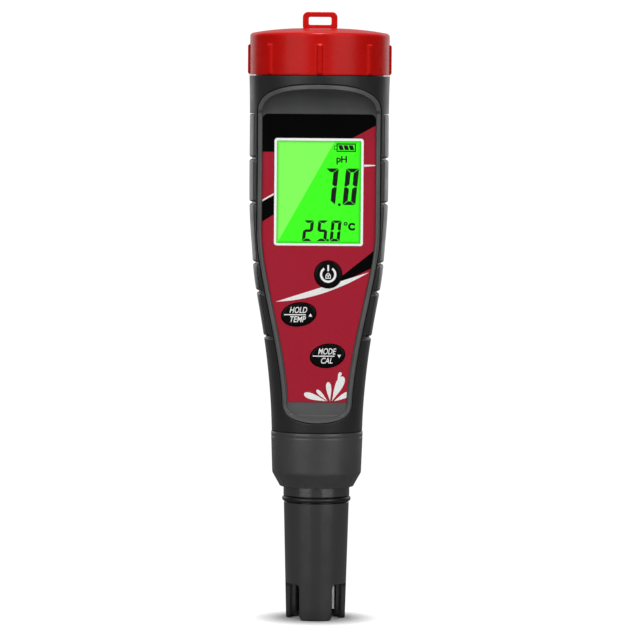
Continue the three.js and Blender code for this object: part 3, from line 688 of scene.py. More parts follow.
# ---------------------------------------------------------------- housing
def seat_depth(degrees, z):
    """Depth of the recess that a side grip lies in."""
    side = abs((degrees + 180) % 360 - 180)
    across = GRIP_FROM - SEAT_EDGE < side < GRIP_TO + SEAT_EDGE
    along = SEAT_LOW < z < SEAT_HIGH
    return GRIP_THICK + 0.15 if across and along else 0.0


def groove_depth(z):
    """Depth of a grip groove where it runs on over the housing, towards the cover."""
    away = min(abs(z - g) for g in LINES)
    return HOUSING_GROOVE * (1 - smooth_step(0.25, GROOVE_LIP, away))


def outer_depth(degrees, z):
    """Depth of the seat and the grooves under the housing's skin, behind the front patch."""
    side = abs((degrees + 180) % 360 - 180)
    if side < GRIP_FROM or z < SEAT_LOW + GROOVE_LIP:
        groove = groove_depth(z) * (1 - smooth_step(GRIP_TO - 3, GRIP_TO + 6, side))
    else:
        groove = 0.0
    return max(seat_depth(degrees, z), groove)


THREAD_PITCH = 3.0


def screw_row(turns, z, root, crest, start=0.0):
    """Places round a screw thread with a rounded ridge, at one height."""
    row = []
    for degrees in turns:
        phase = ((z - start) / THREAD_PITCH - degrees / 360) % 1.0
        ridge = smooth_step(0.18, 0.34, phase) * (1 - smooth_step(0.6, 0.76, phase))
        row.append(polar(degrees, mix(root, crest, ridge), z))
    return row


WEB_EDGE = 67.5  # where the front patch of the outside ends, in degrees
INNER_EDGE = 80.0  # the same on the bore
BACK_TURNS = spread(WEB_EDGE, 360 - WEB_EDGE, 96)
for seat_end in (GRIP_FROM - SEAT_EDGE, GRIP_TO + SEAT_EDGE):
    for step in (-0.08, 0.08):
        BACK_TURNS += [seat_end + step, 360 - seat_end + step]
BACK_TURNS.sort()


def housing_shape():
    """Housing shell: a front patch round the cover's opening, a back patch, threaded neck and tail."""
    shape = Shape()
    top, end = HOUSING_TOP - END_EDGE, HOUSING_END + END_EDGE
    mouth = cover_side(SEAM + EDGE)
    last = len(mouth) - 1
    foot_corner = last - TOE_STEPS + 1
    side_start = ARCH_STEPS
    side_stop = last - len(FOOT_ANGLES) + 1

    def border(i):
        """Angle and height on the front patch's own border that point i runs out to."""
        if i <= ARCH_CORNER:
            return WEB_EDGE * i / ARCH_CORNER, top
        if i <= side_start:
            return WEB_EDGE, mix(top, ARCH_FOOT, (i - ARCH_CORNER) / (side_start - ARCH_CORNER))
        if i < side_stop:
            return WEB_EDGE, mouth[i][1]
        if i <= foot_corner:
            t = (i - side_stop) / (foot_corner - side_stop)
            return WEB_EDGE, mix(FOOT_START, end, t)
        return WEB_EDGE * (last - i) / (last - foot_corner), end

    def ring(points):
        """A whole loop from the places on its right side."""
        return points + [(-x, y, z) for x, y, z in reversed(points[1:-1])]

    rows = []
    for grow, drop in ((0.0, EDGE), (0.03, 0.15), (0.1, 0.05), (0.18, 0.01)):
        row = []
        for x, z in cover_side(SEAM + grow):
            r = skin(z) - drop
            row.append((x, -math.sqrt(r * r - x * x), z))
        rows.append(ring(row))
    for share in (0, 0.03, 0.08, 0.15, 0.25, 0.36, 0.48, 0.6, 0.72, 0.84, 0.93, 1):
        row = []
        for i, (x, z) in enumerate(mouth):
            degrees, target = border(i)
            from_turn = math.degrees(math.asin(x / skin(z)))
            height = mix(z, target, share)
            r = skin(height) - groove_depth(height) * smooth_step(0, 0.2, share)
            row.append(polar(mix(from_turn, degrees, share), r, height))
        rows.append(ring(row))
    wall = at_depth(cover_loop(SEAM), LEDGE_FRONT)
    lip = at_depth(cover_loop(-LEDGE_WIDTH), LEDGE_FRONT)
    lip_back = at_depth(cover_loop(-LEDGE_WIDTH), LEDGE_BACK)
    shape.grid([lip_back, lip, wall] + rows, around=True)

    heights = [border(i)[1] for i in range(ARCH_CORNER, foot_corner + 1)]
    outer = []
    inner = []
    for z in heights:
        outer.append([polar(a, skin(z) - outer_depth(a, z), z) for a in BACK_TURNS])
        inner.append([polar(inner_turn(a), bore(z), z) for a in BACK_TURNS])
    shape.grid(outer)
    shape.grid(inner)

    # the bore's front, from the ledge to the inner patch
    front = []
    for i in range(len(mouth)):
        degrees, z = border(i)
        front.append(polar(degrees * INNER_EDGE / WEB_EDGE, bore(z), z))
    shape.grid([lip_back, ring(front)], around=True)

    # neck and tail, on the same turns as the two patches' ends
    top_turns = [border(i)[0] for i in range(ARCH_CORNER + 1)]
    turns = top_turns + BACK_TURNS[1:-1] + [360 - a for a in reversed(top_turns[1:])]
    neck = [turned_row(turns, skin(top) - drop, top + rise) for drop, rise in END_STEPS]
    for z in spread(HOUSING_TOP, NECK_TOP - 0.2, 60):
        crest = NECK_ROOT + 0.33 * smooth_step(HOUSING_TOP + 0.6, HOUSING_TOP + 1.6, z)
        crest = mix(crest, NECK_ROOT, smooth_step(NECK_TOP - 1.2, NECK_TOP - 0.4, z))
        neck.append(screw_row(turns, z, NECK_ROOT, crest))
    for r, z in ((17.7, NECK_TOP), (17.35, NECK_TOP), (NECK_BORE, NECK_TOP - 0.2)):
        neck.append(turned_row(turns, r, z))
    neck.append([polar(inner_turn(a), bore(top), top) for a in turns])
    shape.grid(neck, around=True)

    foot_turns = [border(i)[0] for i in range(last, foot_corner - 1, -1)]
    turns = foot_turns + BACK_TURNS[1:-1] + [360 - a for a in reversed(foot_turns[1:])]
    tail = [turned_row(turns, skin(end) - drop, end - fall) for drop, fall in END_STEPS]
    for z in spread(HOUSING_END, TAIL_END + 0.2, 56):
        crest = mix(TAIL_ROOT + 0.35, TAIL_ROOT, smooth_step(HOUSING_END - 1.6, HOUSING_END - 0.5, z))
        crest = mix(TAIL_ROOT, crest, smooth_step(TAIL_END + 0.4, TAIL_END + 1.2, z))
        tail.append(screw_row(turns, z, TAIL_ROOT, crest))
    for r, z in ((10.5, TAIL_END), (9.2, TAIL_END), (TAIL_BORE, TAIL_END + 0.2)):
        tail.append(turned_row(turns, r, z))
    tail.append([polar(inner_turn(a), bore(end), end) for a in turns])
    shape.grid(tail, around=True)
    return shape


def inner_turn(degrees):
    """Angle on the bore that matches an angle on the outside."""
    if degrees <= WEB_EDGE:
        return degrees * INNER_EDGE / WEB_EDGE
    if degrees >= 360 - WEB_EDGE:
        return 360 - (360 - degrees) * INNER_EDGE / WEB_EDGE
    share = (degrees - WEB_EDGE) / (360 - 2 * WEB_EDGE)
    return mix(INNER_EDGE, 360 - INNER_EDGE, share)


# ---------------------------------------------------------------- front cover
def plane_depth(z):
    """Depth of the sunken surface: scoop at the top, flat panel, ramp at the foot."""
    if z > ARCH_FOOT:
        s = min((z - ARCH_FOOT) / SCOOP_HEIGHT, 1.0)
        return SCOOP_DEPTH - (SCOOP_DEPTH - PANEL) * math.sqrt(1 - s * s)
    if z >= PANEL_END - 0.001:
        return PANEL
    if z >= PANEL_END - RAMP_STEP:
        return PANEL + PANEL_END - z
    down = (PANEL_END - RAMP_STEP - z) / (PANEL_END - RAMP_STEP - RAMP_FOOT)
    return mix(PANEL + RAMP_STEP, RAMP_OUT, down)


def rim_depth(z):
    """Depth of the bead round the sunken panel."""
    if z > ARCH_FOOT:
        return RIM + RIM_LEAN[0] * (z - ARCH_FOOT)
    return RIM + RIM_LEAN[1] * max(PANEL_END - z, 0.0)


def tube_depth(x, z):
    """Depth of the housing's skin in front of the axis."""
    r = skin(z)
    return math.sqrt(max(r * r - x * x, 0.0))


def cover_shape():
    """Front cover: rim, scoop, panel with its pocket, ramp, window seat and key holes."""
    shape = Shape()
    columns = 32
    outline = cover_loop(0.0)
    rows = [at_depth(outline, COVER_BACK)]
    for inward in (0.0, 0.03, 0.09, 0.18, 0.3, 0.45, 0.62, 0.8, 0.92, 1.02, 1.09, RIM_WIDTH):
        row = []
        for x, z in cover_loop(-inward):
            outside = tube_depth(x, z) - fillet(inward, 0.3)
            bead = max(rim_depth(z), plane_depth(z)) - fillet(RIM_WIDTH - inward, 0.32)
            row.append((x, -min(outside, max(bead, plane_depth(z))), z))
        rows.append(row)
    inner = cover_side(-RIM_WIDTH)
    rows.append([(x, -plane_depth(z), z) for x, z in both_sides(inner)])
    shape.grid(rows, around=True)

    plane_end = ARCH_STEPS + 1 + len(SIDE_Z) + FOOT_STEPS
    across = [1 - 2 * j / columns for j in range(columns + 1)]

    def rib_rows(points):
        return [[(x * c, -plane_depth(z), z) for c in across] for x, z in points]

    shape.grid(rib_rows(inner[: ARCH_STEPS + 1]))
    shape.grid(rib_rows(inner[plane_end:]))

    right = inner[ARCH_STEPS : plane_end + 1]
    top_x, top_z = right[0]
    end_x, end_z = right[-1]
    border = [(-top_x * c, top_z) for c in across[:-1]]
    border += right[:-1]
    border += [(end_x * c, end_z) for c in across[:-1]]
    border += [(-x, z) for x, z in reversed(right[1:])]
    pocket = label_loop(0.1)
    shape.flat(PANEL, border, [pocket])
    shape.grid([at_depth(pocket, d) for d in (PANEL, POCKET_FLOOR)], around=True)
    shape.flat(POCKET_FLOOR, pocket, [WINDOW_SEAT] + KEY_HOLES)
    for hole in KEY_HOLES:
        shape.grid([at_depth(hole, d) for d in (POCKET_FLOOR, COVER_BACK)], around=True)
    seat = PANEL - WINDOW_THICK - 0.1
    steps = [at_depth(WINDOW_SEAT, depth) for depth in (POCKET_FLOOR, seat)]
    steps += [at_depth(WINDOW_HOLE, depth) for depth in (seat, COVER_BACK)]
    shape.grid(steps, around=True)
    shape.flat(COVER_BACK, outline, [WINDOW_HOLE] + KEY_HOLES)
    return shape


# ---------------------------------------------------------------- side grips
def grip_shape(side):
    """Soft pad with rounded borders and four cross grooves, on the right (1) or the left (-1)."""
    shape = Shape()
    edge = [0, 0.05, 0.12, 0.22, 0.36, 0.55]
    border = [math.degrees(e / GRIP_RADIUS) for e in edge]
    turns = [GRIP_FROM + b for b in border]
    turns += spread(turns[-1], GRIP_TO - border[-1], 26)[1:-1]
    turns += [GRIP_TO - b for b in reversed(border)]
    profile = (0, 0.12, 0.18, 0.24, 0.3, 0.33, 0.38, 0.45, 0.54, 0.64, 0.76, GROOVE_LIP)
    cuts = []
    for z in GROOVES:
        cuts += [z + s for s in profile] + [z - s for s in profile[1:]]
    ends = [GRIP_LOW + e for e in edge] + [GRIP_HIGH - e for e in edge]
    heights = sorted(cuts + ends + off_grooves(spread(GRIP_LOW + 1, GRIP_HIGH - 1, 34)))

    def height(degrees, z):
        r = skin(z)
        along = min(z - GRIP_LOW, GRIP_HIGH - z)
        across = min(degrees - GRIP_FROM, GRIP_TO - degrees) * rad(1) * r
        drop = fillet(min(along, across), 0.4)
        for g in GROOVES:
            away = abs(z - g)
            if away < GROOVE_LIP:
                lips = fillet(away - 0.3, GROOVE_LIP - 0.3)
                drop = max(drop, lips, PAD_GROOVE * (1 - smooth_step(0.18, 0.3, away)))
        return r - drop

    front = [[polar(side * a, height(a, z), z) for a in turns] for z in heights]
    back = [[polar(side * a, skin(z) - GRIP_THICK, z) for a in turns] for z in heights]
    shape.grid(front)
    shape.grid(back)
    for rows in (0, -1):
        shape.grid([front[rows], back[rows]])
    for column in (0, -1):
        shape.grid([[row[column] for row in front], [row[column] for row in back]])
    return shape


# ---------------------------------------------------------------- label
def bend(start, middle, end):
    """Points of a curve from start to end that passes through middle at its half."""
    pull = [2 * m - (a + b) / 2 for a, m, b in zip(start, middle, end)]
    found = []
    for t in spread(0, 1, 16):
        u = 1 - t
        found.append(tuple(a * u * u + 2 * p * t * u + b * t * t for a, p, b in zip(start, pull, end)))
    return found


def teardrop(x, z, length, width, lean):
    """Drop with its point at x, z, leaning by an angle from straight up."""
    c, s = math.cos(rad(lean)), math.sin(rad(lean))
    count = 28
    loop = []
    for i in range(count):
        t = TWO_PI * i / count
        u = width / 2 * math.sin(t) * math.sin(t / 2) ** 1.6
        v = length * (1 - math.cos(t)) / 2
        loop.append((x + u * c + v * s, z - u * s + v * c))
    return loop


def label_art():
    """Printed areas of the label: (loop, material number), later ones on top."""
    out = LABEL_HALF + 0.6
    win = WINDOW_EDGE - 0.4
    black, white = 1, 2
    tail, tip = (-11.7, 89.5), (14.2, 97.9)
    upper = bend(tail, (1.2, 93.7), tip)
    lower = bend(tip, (1.1, 91.85), tail)
    top = ARCH_FOOT + 1
    header = [(-out, top), (-out, 131.2), (-win, 131.2), (-win, 134.9), (8.7, 134.9)]
    header += [(out, 139.0), (out, top)]
    wedge = [(out, 104.6), (10.5, 99.9), (6.7, 96.9), (4.0, 95.0), (4.0, 94.6)]
    art = [
        (header, black),
        ([(win, 127.2), (out, 127.55), (out, 127.75), (win, 127.85)], white),
        ([(-out, 117.1), (-win, 119.5), (-win, 120.05), (-out, 117.5)], white),
        ([(-out, 111.4), (-win, 114.1), (-win, 119.4), (-out, 117.0)], black),
        (wedge + upper[10:14] + [(out, 99.7)], black),
        (upper[:-1] + lower[:-1], white),
    ]
    foot = LABEL_FOOT + 0.3
    # droplets at the foot: place across, length, width, lean
    drops = [(2.6, 6.6, 2.5, -72), (2.9, 4.4, 1.5, -44), (3.6, 5.4, 2.1, -6), (4.1, 7.6, 3.2, 24)]
    drops += [(4.6, 5.2, 2.1, 62)]
    art += [(teardrop(x, foot, *drop), white) for x, *drop in drops]
    art.append((teardrop(5.7, 67.9, 2.2, 1.3, 22), white))
    return art


def label_shape():
    """Printed film in the panel's pocket."""
    shape = Shape()
    art = label_art()

    def ink(x, z):
        found = 0
        for loop, kind in art:
            if inside(x, z, loop):
                found = kind
        return found

    holes = [window_loop(0.12, 0.9)] + KEY_HOLES
    shape.sheet(LABEL_FRONT, LABEL_BACK, label_loop(0.0), holes, [loop for loop, _ in art], ink)
    return shape


# ---------------------------------------------------------------- lettering
def letters(shape, text, height, x, z, depths, lean=0.0, weight=0.0, width=None):
    """Generic plain capitals as thin plates, with their middle at x, z."""
    front, back = depths
    curve = bpy.data.curves.new("letters", "FONT")
    curve.body = text
    curve.size = 10.0
    curve.shear = lean
    curve.offset = weight
    curve.extrude = 1.0
    curve.resolution_u = 5
    maker = show("letters", curve)
    bpy.context.view_layer.update()
    mesh = bpy.data.meshes.new_from_object(maker.evaluated_get(bpy.context.evaluated_depsgraph_get()))
    xs = [v.co.x for v in mesh.vertices]
    ys = [v.co.y for v in mesh.vertices]
    tall = height / (max(ys) - min(ys))
    wide = width / (max(xs) - min(xs)) if width else tall
    mid_x, mid_y = (max(xs) + min(xs)) / 2, (max(ys) + min(ys)) / 2

    def place(u, v, w):
        return (x + (u - mid_x) * wide, -mix(back, front, (w + 1) / 2), z + (v - mid_y) * tall)

    shape.add_mesh(mesh, place)
    bpy.data.objects.remove(maker)
    bpy.data.curves.remove(curve)
    bpy.data.meshes.remove(mesh)


def arc_band(x, z, radius, width, start, end, steps=40):
    """Closed outline of part of a ring, between two angles."""
    outer = []
    inner = []
    for a in spread(start, end, steps):
        c, s = math.cos(rad(a)), math.sin(rad(a))
        outer.append((x + (radius + width / 2) * c, z + (radius + width / 2) * s))
        inner.append((x + (radius - width / 2) * c, z + (radius - width / 2) * s))
    return outer + inner[::-1]


def bar(x1, z1, x2, z2):
    return [(x1, z1), (x2, z1), (x2, z2), (x1, z2)]


def frame_bars(left, low, right, high, line):
    """Four bars round a box, a hair apart so that they stay separate solids."""
    apart = 0.02
    inner_low, inner_high = low + line + apart, high - line - apart
    return [
        bar(left, low, right, low + line),
        bar(left, high - line, right, high),
        bar(left, inner_low, left + line, inner_high),
        bar(right - line, inner_low, right, inner_high),
    ]


# ---------------------------------------------------------------- keys
KEY_UNDER = -1.75  # underside of a key's skirt, from the panel plane
# rounding of a key's top: (inwards, height over the panel plane)
KEY_CROWN = (
    (0, -0.2),
    (0, 0.0),
    (0.02, 0.1),
    (0.07, 0.19),
    (0.16, 0.27),
    (0.3, 0.33),
    (0.5, 0.37),
    (0.9, 0.4),
    (1.5, 0.43),
    (2.2, 0.445),
)
LEGEND_DEPTHS = (PANEL + KEY_PROUD + 0.015, PANEL + KEY_PROUD - 0.12)


def key_shape(key):
    """Key with a rounded top, a hidden flange and a stem."""
    _, x, z, a, b, turn = key
    shape = Shape()

    def ring(grow, height):
        return at_depth(ellipse_loop(x, z, a + grow, b + grow, turn, 96), PANEL + height)

    flange = ((0.7, -0.6), (0.7, -0.05), (0.65, 0), (0.0, 0))
    rows = [ring(grow, KEY_UNDER + height) for grow, height in flange]
    rows += [ring(-inwards, height) for inwards, height in KEY_CROWN]
    shape.grid(rows, around=True)
    shape.fan(rows[0], (x, -(PANEL + KEY_UNDER - 0.6), z))
    shape.fan(rows[-1], (x, -(PANEL + KEY_PROUD), z))
    stem = ((1.6, KEY_UNDER - 0.5), (1.6, -2.7), (1.45, -2.8))
    rows = [at_depth(ellipse_loop(x, z, r, r, 0, 32), PANEL + height) for r, height in stem]
    shape.grid(rows, around=True)
    shape.face(rows[0])
    shape.face(rows[-1])
    return shape


def power_legend(key):
    """Open ring and bar round a small padlock."""
    _, x, z = key[:3]
    shape = Shape()
    low, high = z - 1.15, z - 0.05
    half, line = 0.74, 0.22
    parts = [
        arc_band(x, z, 1.98, 0.62, 124, 416),
        bar(x - 0.24, z + 0.95, x + 0.24, z + 2.65),
        arc_band(x, high, 0.42, 0.2, 0, 180, 16),
        *frame_bars(x - half, low, x + half, high, line),
        ellipse_loop(x, (low + high) / 2, 0.17, 0.24, 0, 20),
    ]
    for loop in parts:
        shape.prism(loop, *LEGEND_DEPTHS)
    return shape


def word_legend(key, upper, lower, widths, points_up):
    """Two slanted words with a line between them and a small triangle beside it."""
    _, x, z = key[:3]
    shape = Shape()
    slant, weight = 0.28, 0.12
    letters(shape, upper, 1.72, x - 0.1, z + 1.27, LEGEND_DEPTHS, slant, weight, widths[0])
    letters(shape, lower, 1.66, x - 0.2, z - 1.3, LEGEND_DEPTHS, slant, weight, widths[1])
    shape.prism(bar(x - 4.1, z - 0.2, x + 1.95, z + 0.08), *LEGEND_DEPTHS)
    tip = 0.45 if points_up else -0.45
    left, level = x + 2.75, z - 0.1
    mark = [(left, level - tip), (left + 1, level - tip), (left + 0.5, level + tip)]
    shape.prism(mark, *LEGEND_DEPTHS)
    return shape


# ---------------------------------------------------------------- display
LCD_LOW, LCD_HIGH = corners("lcd_glass")
LCD_FRONT = -LCD_LOW[1]
LCD_BACK = -LCD_HIGH[1]


def window_shape():
    """Clear pane with a white border printed round its front."""
    shape = Shape()
    front, back = PANEL, PANEL - WINDOW_THICK
    steps = ((0, back), (0, front - 0.12), (0.04, front - 0.04), (0.12, front))
    rows = [at_depth(window_loop(-inset, 0.8 - inset, 8), depth) for inset, depth in steps]
    rows.append(at_depth(window_loop(-BORDER, 0.25, 8), front))
    shape.grid(rows, around=True, kind=1)
    shape.face(rows[-1])
    shape.face(rows[0])
    return shape


PAINTED_GLARE_TOP, PAINTED_GLARE_FOOT = (4.25, 134.1), (-11.4, 106.0)  # line that the painted reflection (a glare on the glass) ends at


def painted_glare_x(z):
    (x1, z1), (x2, z2) = PAINTED_GLARE_TOP, PAINTED_GLARE_FOOT
    return x1 + (z - z1) * (x1 - x2) / (z1 - z2)


def painted_glare_z(x):
    (x1, z1), (x2, z2) = PAINTED_GLARE_TOP, PAINTED_GLARE_FOOT
    return z1 + (x - x1) * (z1 - z2) / (x1 - x2)


def lcd_shape():
    """Display glass; a painted reflection (glare) lies left of a slanting line, and painted shade darkens it
    in steps towards the window's border.
    """
    shape = Shape()
    half = LCD_HIGH[0]
    low, high = LCD_LOW[2], LCD_HIGH[2]
    # painted glare: lighter green left of the slanting line, standing in for a reflection in the glass
    painted_glare = [(-half, painted_glare_z(-half)), (painted_glare_x(high), high), (-half, high)]
    # painted shade: inset rectangles that step the green darker towards the window's border
    steps = []
    for inset in (0.3, 0.6, 0.95):
        across, tall = WINDOW_W / 2 - BORDER - inset, WINDOW_H / 2 - BORDER - inset
        steps.append(bar(-across, WINDOW_Z - tall, across, WINDOW_Z + tall))

    def kind(x, z):
        shade = sum(not inside(x, z, step) for step in steps)
        return shade + (len(LCD_PAINTED_SHADE) if inside(x, z, painted_glare) else 0)

    shape.sheet(LCD_FRONT, LCD_BACK, bar(-half, low, half, high), (), [painted_glare] + steps, kind)
    return shape


# bars of a seven-bar digit: 0 top, 1 upper right, 2 lower right, 3 bottom, 4 lower left,
# 5 upper left, 6 middle
DIGIT_BARS = {"0": (0, 1, 2, 3, 4, 5), "2": (0, 1, 6, 4, 3), "5": (0, 5, 6, 2, 3), "7": (0, 1, 2)}
SLANT = 0.095
SEGMENT_DEPTHS = (LCD_FRONT + 0.06, LCD_FRONT + 0.01)


def digit(shape, which, x, z, width, height, stroke):
    """Slanted seven-bar digit with its lower left corner at x, z."""
    gap, half = 0.12, height / 2
    deep, thick = stroke * 0.8, stroke * 0.42
    left, right = stroke + gap / 2, width - stroke - gap / 2
    upper = [
        (width, height - gap),
        (width, half + gap),
        (width - stroke * 0.5, half + gap * 0.8),
        (width - stroke, half + thick * 0.8 + gap),
        (width - stroke, height - deep - gap),
    ]
    middle = [(gap, half), (deep, half + thick), (width - deep, half + thick), (width - gap, half)]
    middle += [(width - deep, half - thick), (deep, half - thick)]
    bars = (
        [(gap, height), (width - gap, height), (right, height - deep), (left, height - deep)],
        upper,
        [(px, height - pz) for px, pz in upper],
        [(gap, 0), (width - gap, 0), (right, deep), (left, deep)],
        [(width - px, height - pz) for px, pz in upper],
        [(width - px, pz) for px, pz in upper],
        middle,
    )
    for number in DIGIT_BARS[which]:
        shape.prism([(x + px + pz * SLANT, z + pz) for px, pz in bars[number]], *SEGMENT_DEPTHS)


READING = (116.5, 3.6, 10.2, 1.36)  # foot, width, height and stroke of its digits
TEMPERATURE = (106.4, 2.8, 5.8, 0.9)


def segments_shape():
    """The reading, the temperature under it, their units and a battery sign."""
    shape = Shape()
    for which, x in (("7", 0.95), ("0", 6.6)):
        digit(shape, which, x, *READING)
    for which, x in (("2", -4.6), ("5", -0.6), ("0", 3.1)):
        digit(shape, which, x, *TEMPERATURE)
    letters(shape, "p", 1.95, 5.45, 128.75, SEGMENT_DEPTHS, weight=0.3)
    letters(shape, "H", 1.95, 6.95, 129.25, SEGMENT_DEPTHS, weight=0.3)
    letters(shape, "C", 2.2, 9.2, 110.5, SEGMENT_DEPTHS, weight=0.7)
    points = [ellipse_loop(x, z, r, r, 0, 20) for x, z, r in ((5.75, 116.6, 0.42), (2.6, 106.7, 0.34))]
    degree = [arc_band(7.55, 111.3, 0.38, 0.36, start + 2, start + 178, 14) for start in (0, 180)]

    low, high, left, right = 131.3, 133.65, 4.85, 10.25
    nub, apart = left - 0.55, 0.02
    battery = frame_bars(left, low, right, high, 0.32)
    battery.append(bar(nub - 0.2, low + 0.6, nub, high - 0.6))
    for z in (low + 0.6, high - 0.8):
        battery.append(bar(nub + apart, z, left - apart, z + 0.2))
    foot, head = low + 0.5, high - 0.5
    for i in range(3):
        x = left + 0.45 + 1.45 * i
        battery.append([(x + 0.45, foot), (x + 1.6, foot), (x + 1.15, head), (x, head)])
    for loop in points + degree + battery:
        shape.prism(loop, *SEGMENT_DEPTHS)
    return shape


# ---------------------------------------------------------------- battery cap
CAP_LOW = corners("battery_cap")[0][2] - 0.12  # the solid's gap to the housing, halved
CAP_SIDE = 19.5
LOOP_TOP = corners("battery_cap")[1][2]
RIB_TOP = CAP_LOW + 8.7


CAP_BORE = 18.7
CAP_CEILING = 162.7
DOME_TOP = 165.7
RIBS = 8
# angles from a rib's middle to halfway between two ribs, closest on the rib's flanks
RIB_STEPS = (0.4, 1.0, 1.5, 1.8, 2.15, 2.5, 2.9, 3.6, 5, 7.5, 10.5, 14, 18)


def rib(degrees, z):
    """How far a finger rib stands out of the cap's side."""
    sector = 360 / RIBS
    away = abs((degrees + sector / 2) % sector - sector / 2)
    across = 1 - smooth_step(1.3, 3.2, away)
    along = smooth_step(CAP_LOW, CAP_LOW + 0.35, z) * (1 - smooth_step(RIB_TOP - 0.6, RIB_TOP, z))
    return 0.6 * across * along


def cap_turns():
    """Angles round the cap, evenly made for each rib."""
    sector = 360 / RIBS
    offsets = [-sector / 2] + [-o for o in reversed(RIB_STEPS)] + list(RIB_STEPS)
    return [sector * k + o for k in range(RIBS) for o in offsets]


def cap_shape():
    """Battery cap: ribbed side, low dome, threaded inside and the lanyard bar."""
    shape = Shape()
    turns = cap_turns()
    bevel, shoulder, centre_z = 0.14, 1.0, 163.315
    profile = [(CAP_BORE, CAP_LOW), (CAP_SIDE - bevel, CAP_LOW), (CAP_SIDE - 0.04, CAP_LOW + 0.04)]
    heights = [CAP_LOW + bevel, CAP_LOW + 0.6] + spread(CAP_LOW + 1.2, RIB_TOP - 0.9, 8)
    heights += spread(RIB_TOP - 0.65, RIB_TOP + 0.1, 8) + [CAP_LOW + 9.3]
    profile += [(CAP_SIDE, z) for z in heights]
    for a in spread(0, rad(80), 12):
        profile.append((CAP_SIDE - shoulder * (1 - math.cos(a)), centre_z + shoulder * math.sin(a)))
    edge_r, edge_z = profile[-1]
    for share in (0.96, 0.9, 0.82, 0.7, 0.56, 0.42, 0.28, 0.14, 0.0):
        profile.append((edge_r * share, edge_z + (DOME_TOP - edge_z) * (1 - share**2.6)))
    rows = [[polar(a, r + (rib(a, z) if r > CAP_BORE + 0.2 else 0), z) for a in turns] for r, z in profile]
    shape.grid(rows, around=True)
    inner = [turned_row(turns, CAP_BORE, CAP_LOW)]
    for z in spread(CAP_LOW + 0.15, CAP_CEILING - 1.2, 58):
        crest = mix(CAP_BORE, CAP_BORE - 0.28, smooth_step(CAP_LOW + 0.5, CAP_LOW + 1.4, z))
        crest = mix(crest, CAP_BORE, smooth_step(CAP_CEILING - 2.6, CAP_CEILING - 1.8, z))
        inner.append(screw_row(turns, z, CAP_BORE, crest, 1.5))
    inner += [turned_row(turns, r, CAP_CEILING) for r in (18.6, 9, 0)]
    shape.grid(inner, around=True)
    add_loop(shape)
    return shape


def add_loop(shape):
    """Lanyard bar on the cap's top: a tab with a slot."""
    low, high = DOME_TOP - 0.9, LOOP_TOP
    width, half = 9.7, 1.2
    slot_width, slot_low, slot_high = 6.3, 166.6, 168.8

    def outline(inset):
        return round_rect(width - 2 * inset, high - low - 2 * inset, 1.5 - inset, 0, (low + high) / 2, 8)

    def hole(grow):
        tall = slot_high - slot_low + 2 * grow
        return round_rect(slot_width + 2 * grow, tall, 0.4 + grow, 0, (slot_low + slot_high) / 2)

    rounding = 0.32
    steps = ((0, rounding), (0.03, 0.2), (0.1, 0.1), (0.2, 0.03), (rounding, 0))
    for side in (-1, 1):
        for border in (outline, hole):
            shape.grid([at_depth(border(inset), side * (half - drop)) for inset, drop in steps], around=True)
        shape.flat(side * half, outline(rounding), [hole(rounding)])
    straight = half - rounding
    for loop in (outline(0), hole(0)):
        shape.grid([at_depth(loop, straight), at_depth(loop, -straight)], around=True)


# ---------------------------------------------------------------- collar and probe
COLLAR_LOW, COLLAR_HIGH = corners("electrode_collar")
COLLAR_FOOT, COLLAR_TOP = COLLAR_LOW[2], COLLAR_HIGH[2]


def collar_shape():
    """Nut that holds the electrode: chamfered foot, straight side, threaded inside."""
    shape = Shape()
    sides = 192
    turns = [360 * i / sides for i in range(sides)]
    foot, top = COLLAR_FOOT, COLLAR_TOP + 0.15
    chamfer, ledge = 41.3, 41.6
    foot_bore, bore_root = 9.75, 11.5
    profile = [(foot_bore, foot + 0.1), (9.85, foot), (10.2, foot), (10.42, foot + 0.12)]
    profile += [(mix(10.5, 12.35, t), mix(foot + 0.3, chamfer - 0.3, t)) for t in spread(0, 1, 8)]
    profile += [(12.45, chamfer), (12.5, chamfer + 0.35)]
    profile += [(mix(12.52, 12.83, t), mix(chamfer + 1, top - 1.9, t)) for t in spread(0, 1, 10)]
    profile += [(12.84, top - 1.55), (12.8, top - 1.4), (12.8, top - 1.28), (12.85, top - 1.13)]
    profile += [(12.85, top - 0.3), (12.8, top - 0.1), (12.62, top), (bore_root, top)]

    def relief(degrees, z):
        """Faint facets on the chamfer and four faint moulding lines on the side."""
        facet = 0.1 * abs(math.sin(rad(degrees * 12))) * (1 - smooth_step(chamfer - 0.5, chamfer + 0.1, z))
        away = abs((degrees - 47 + 45) % 90 - 45)
        seam = 0.05 * (1 - smooth_step(0.6, 1.4, away)) * smooth_step(chamfer, chamfer + 1, z)
        return -facet * smooth_step(foot, foot + 0.5, z) - seam * (1 - smooth_step(top - 2.6, top - 2, z))

    rows = [[polar(a, r + (relief(a, z) if r > 10.45 else 0), z) for a in turns] for r, z in profile]
    for z in spread(top, ledge + 0.3, 50):
        crest = mix(bore_root, bore_root - 0.28, smooth_step(top - 1.4, top - 0.5, 2 * top - 1.9 - z))
        rows.append(screw_row(turns, z, bore_root, crest, 1.5))
    for r, z in ((11.45, ledge), (foot_bore, ledge), (foot_bore, foot + 0.1)):
        rows.append(turned_row(turns, r, z))
    shape.grid(rows, around=True)
    return shape


PRONG_HALF = 34.0
SLOT_TOP = 10.0
SLOT_CORNER = 1.1
FOOT_CORNER = 1.3
SLEEVE_BORE = 6.9
SLEEVE_ROUND = 0.9  # height up to which the sleeve's foot keeps one radius
SLEEVE_FOOT_RADIUS = 8.3
SLEEVE_TAPER = 0.0264
SLEEVE_SEAL = (8.9, 0.75, 33.9)  # O-rings: radius, thickness / 2, height
SPIGOT_SEAL = (8.0, 0.7, 47.0)


def sleeve_radius(z):
    return SLEEVE_FOOT_RADIUS + SLEEVE_TAPER * (z - SLEEVE_ROUND)


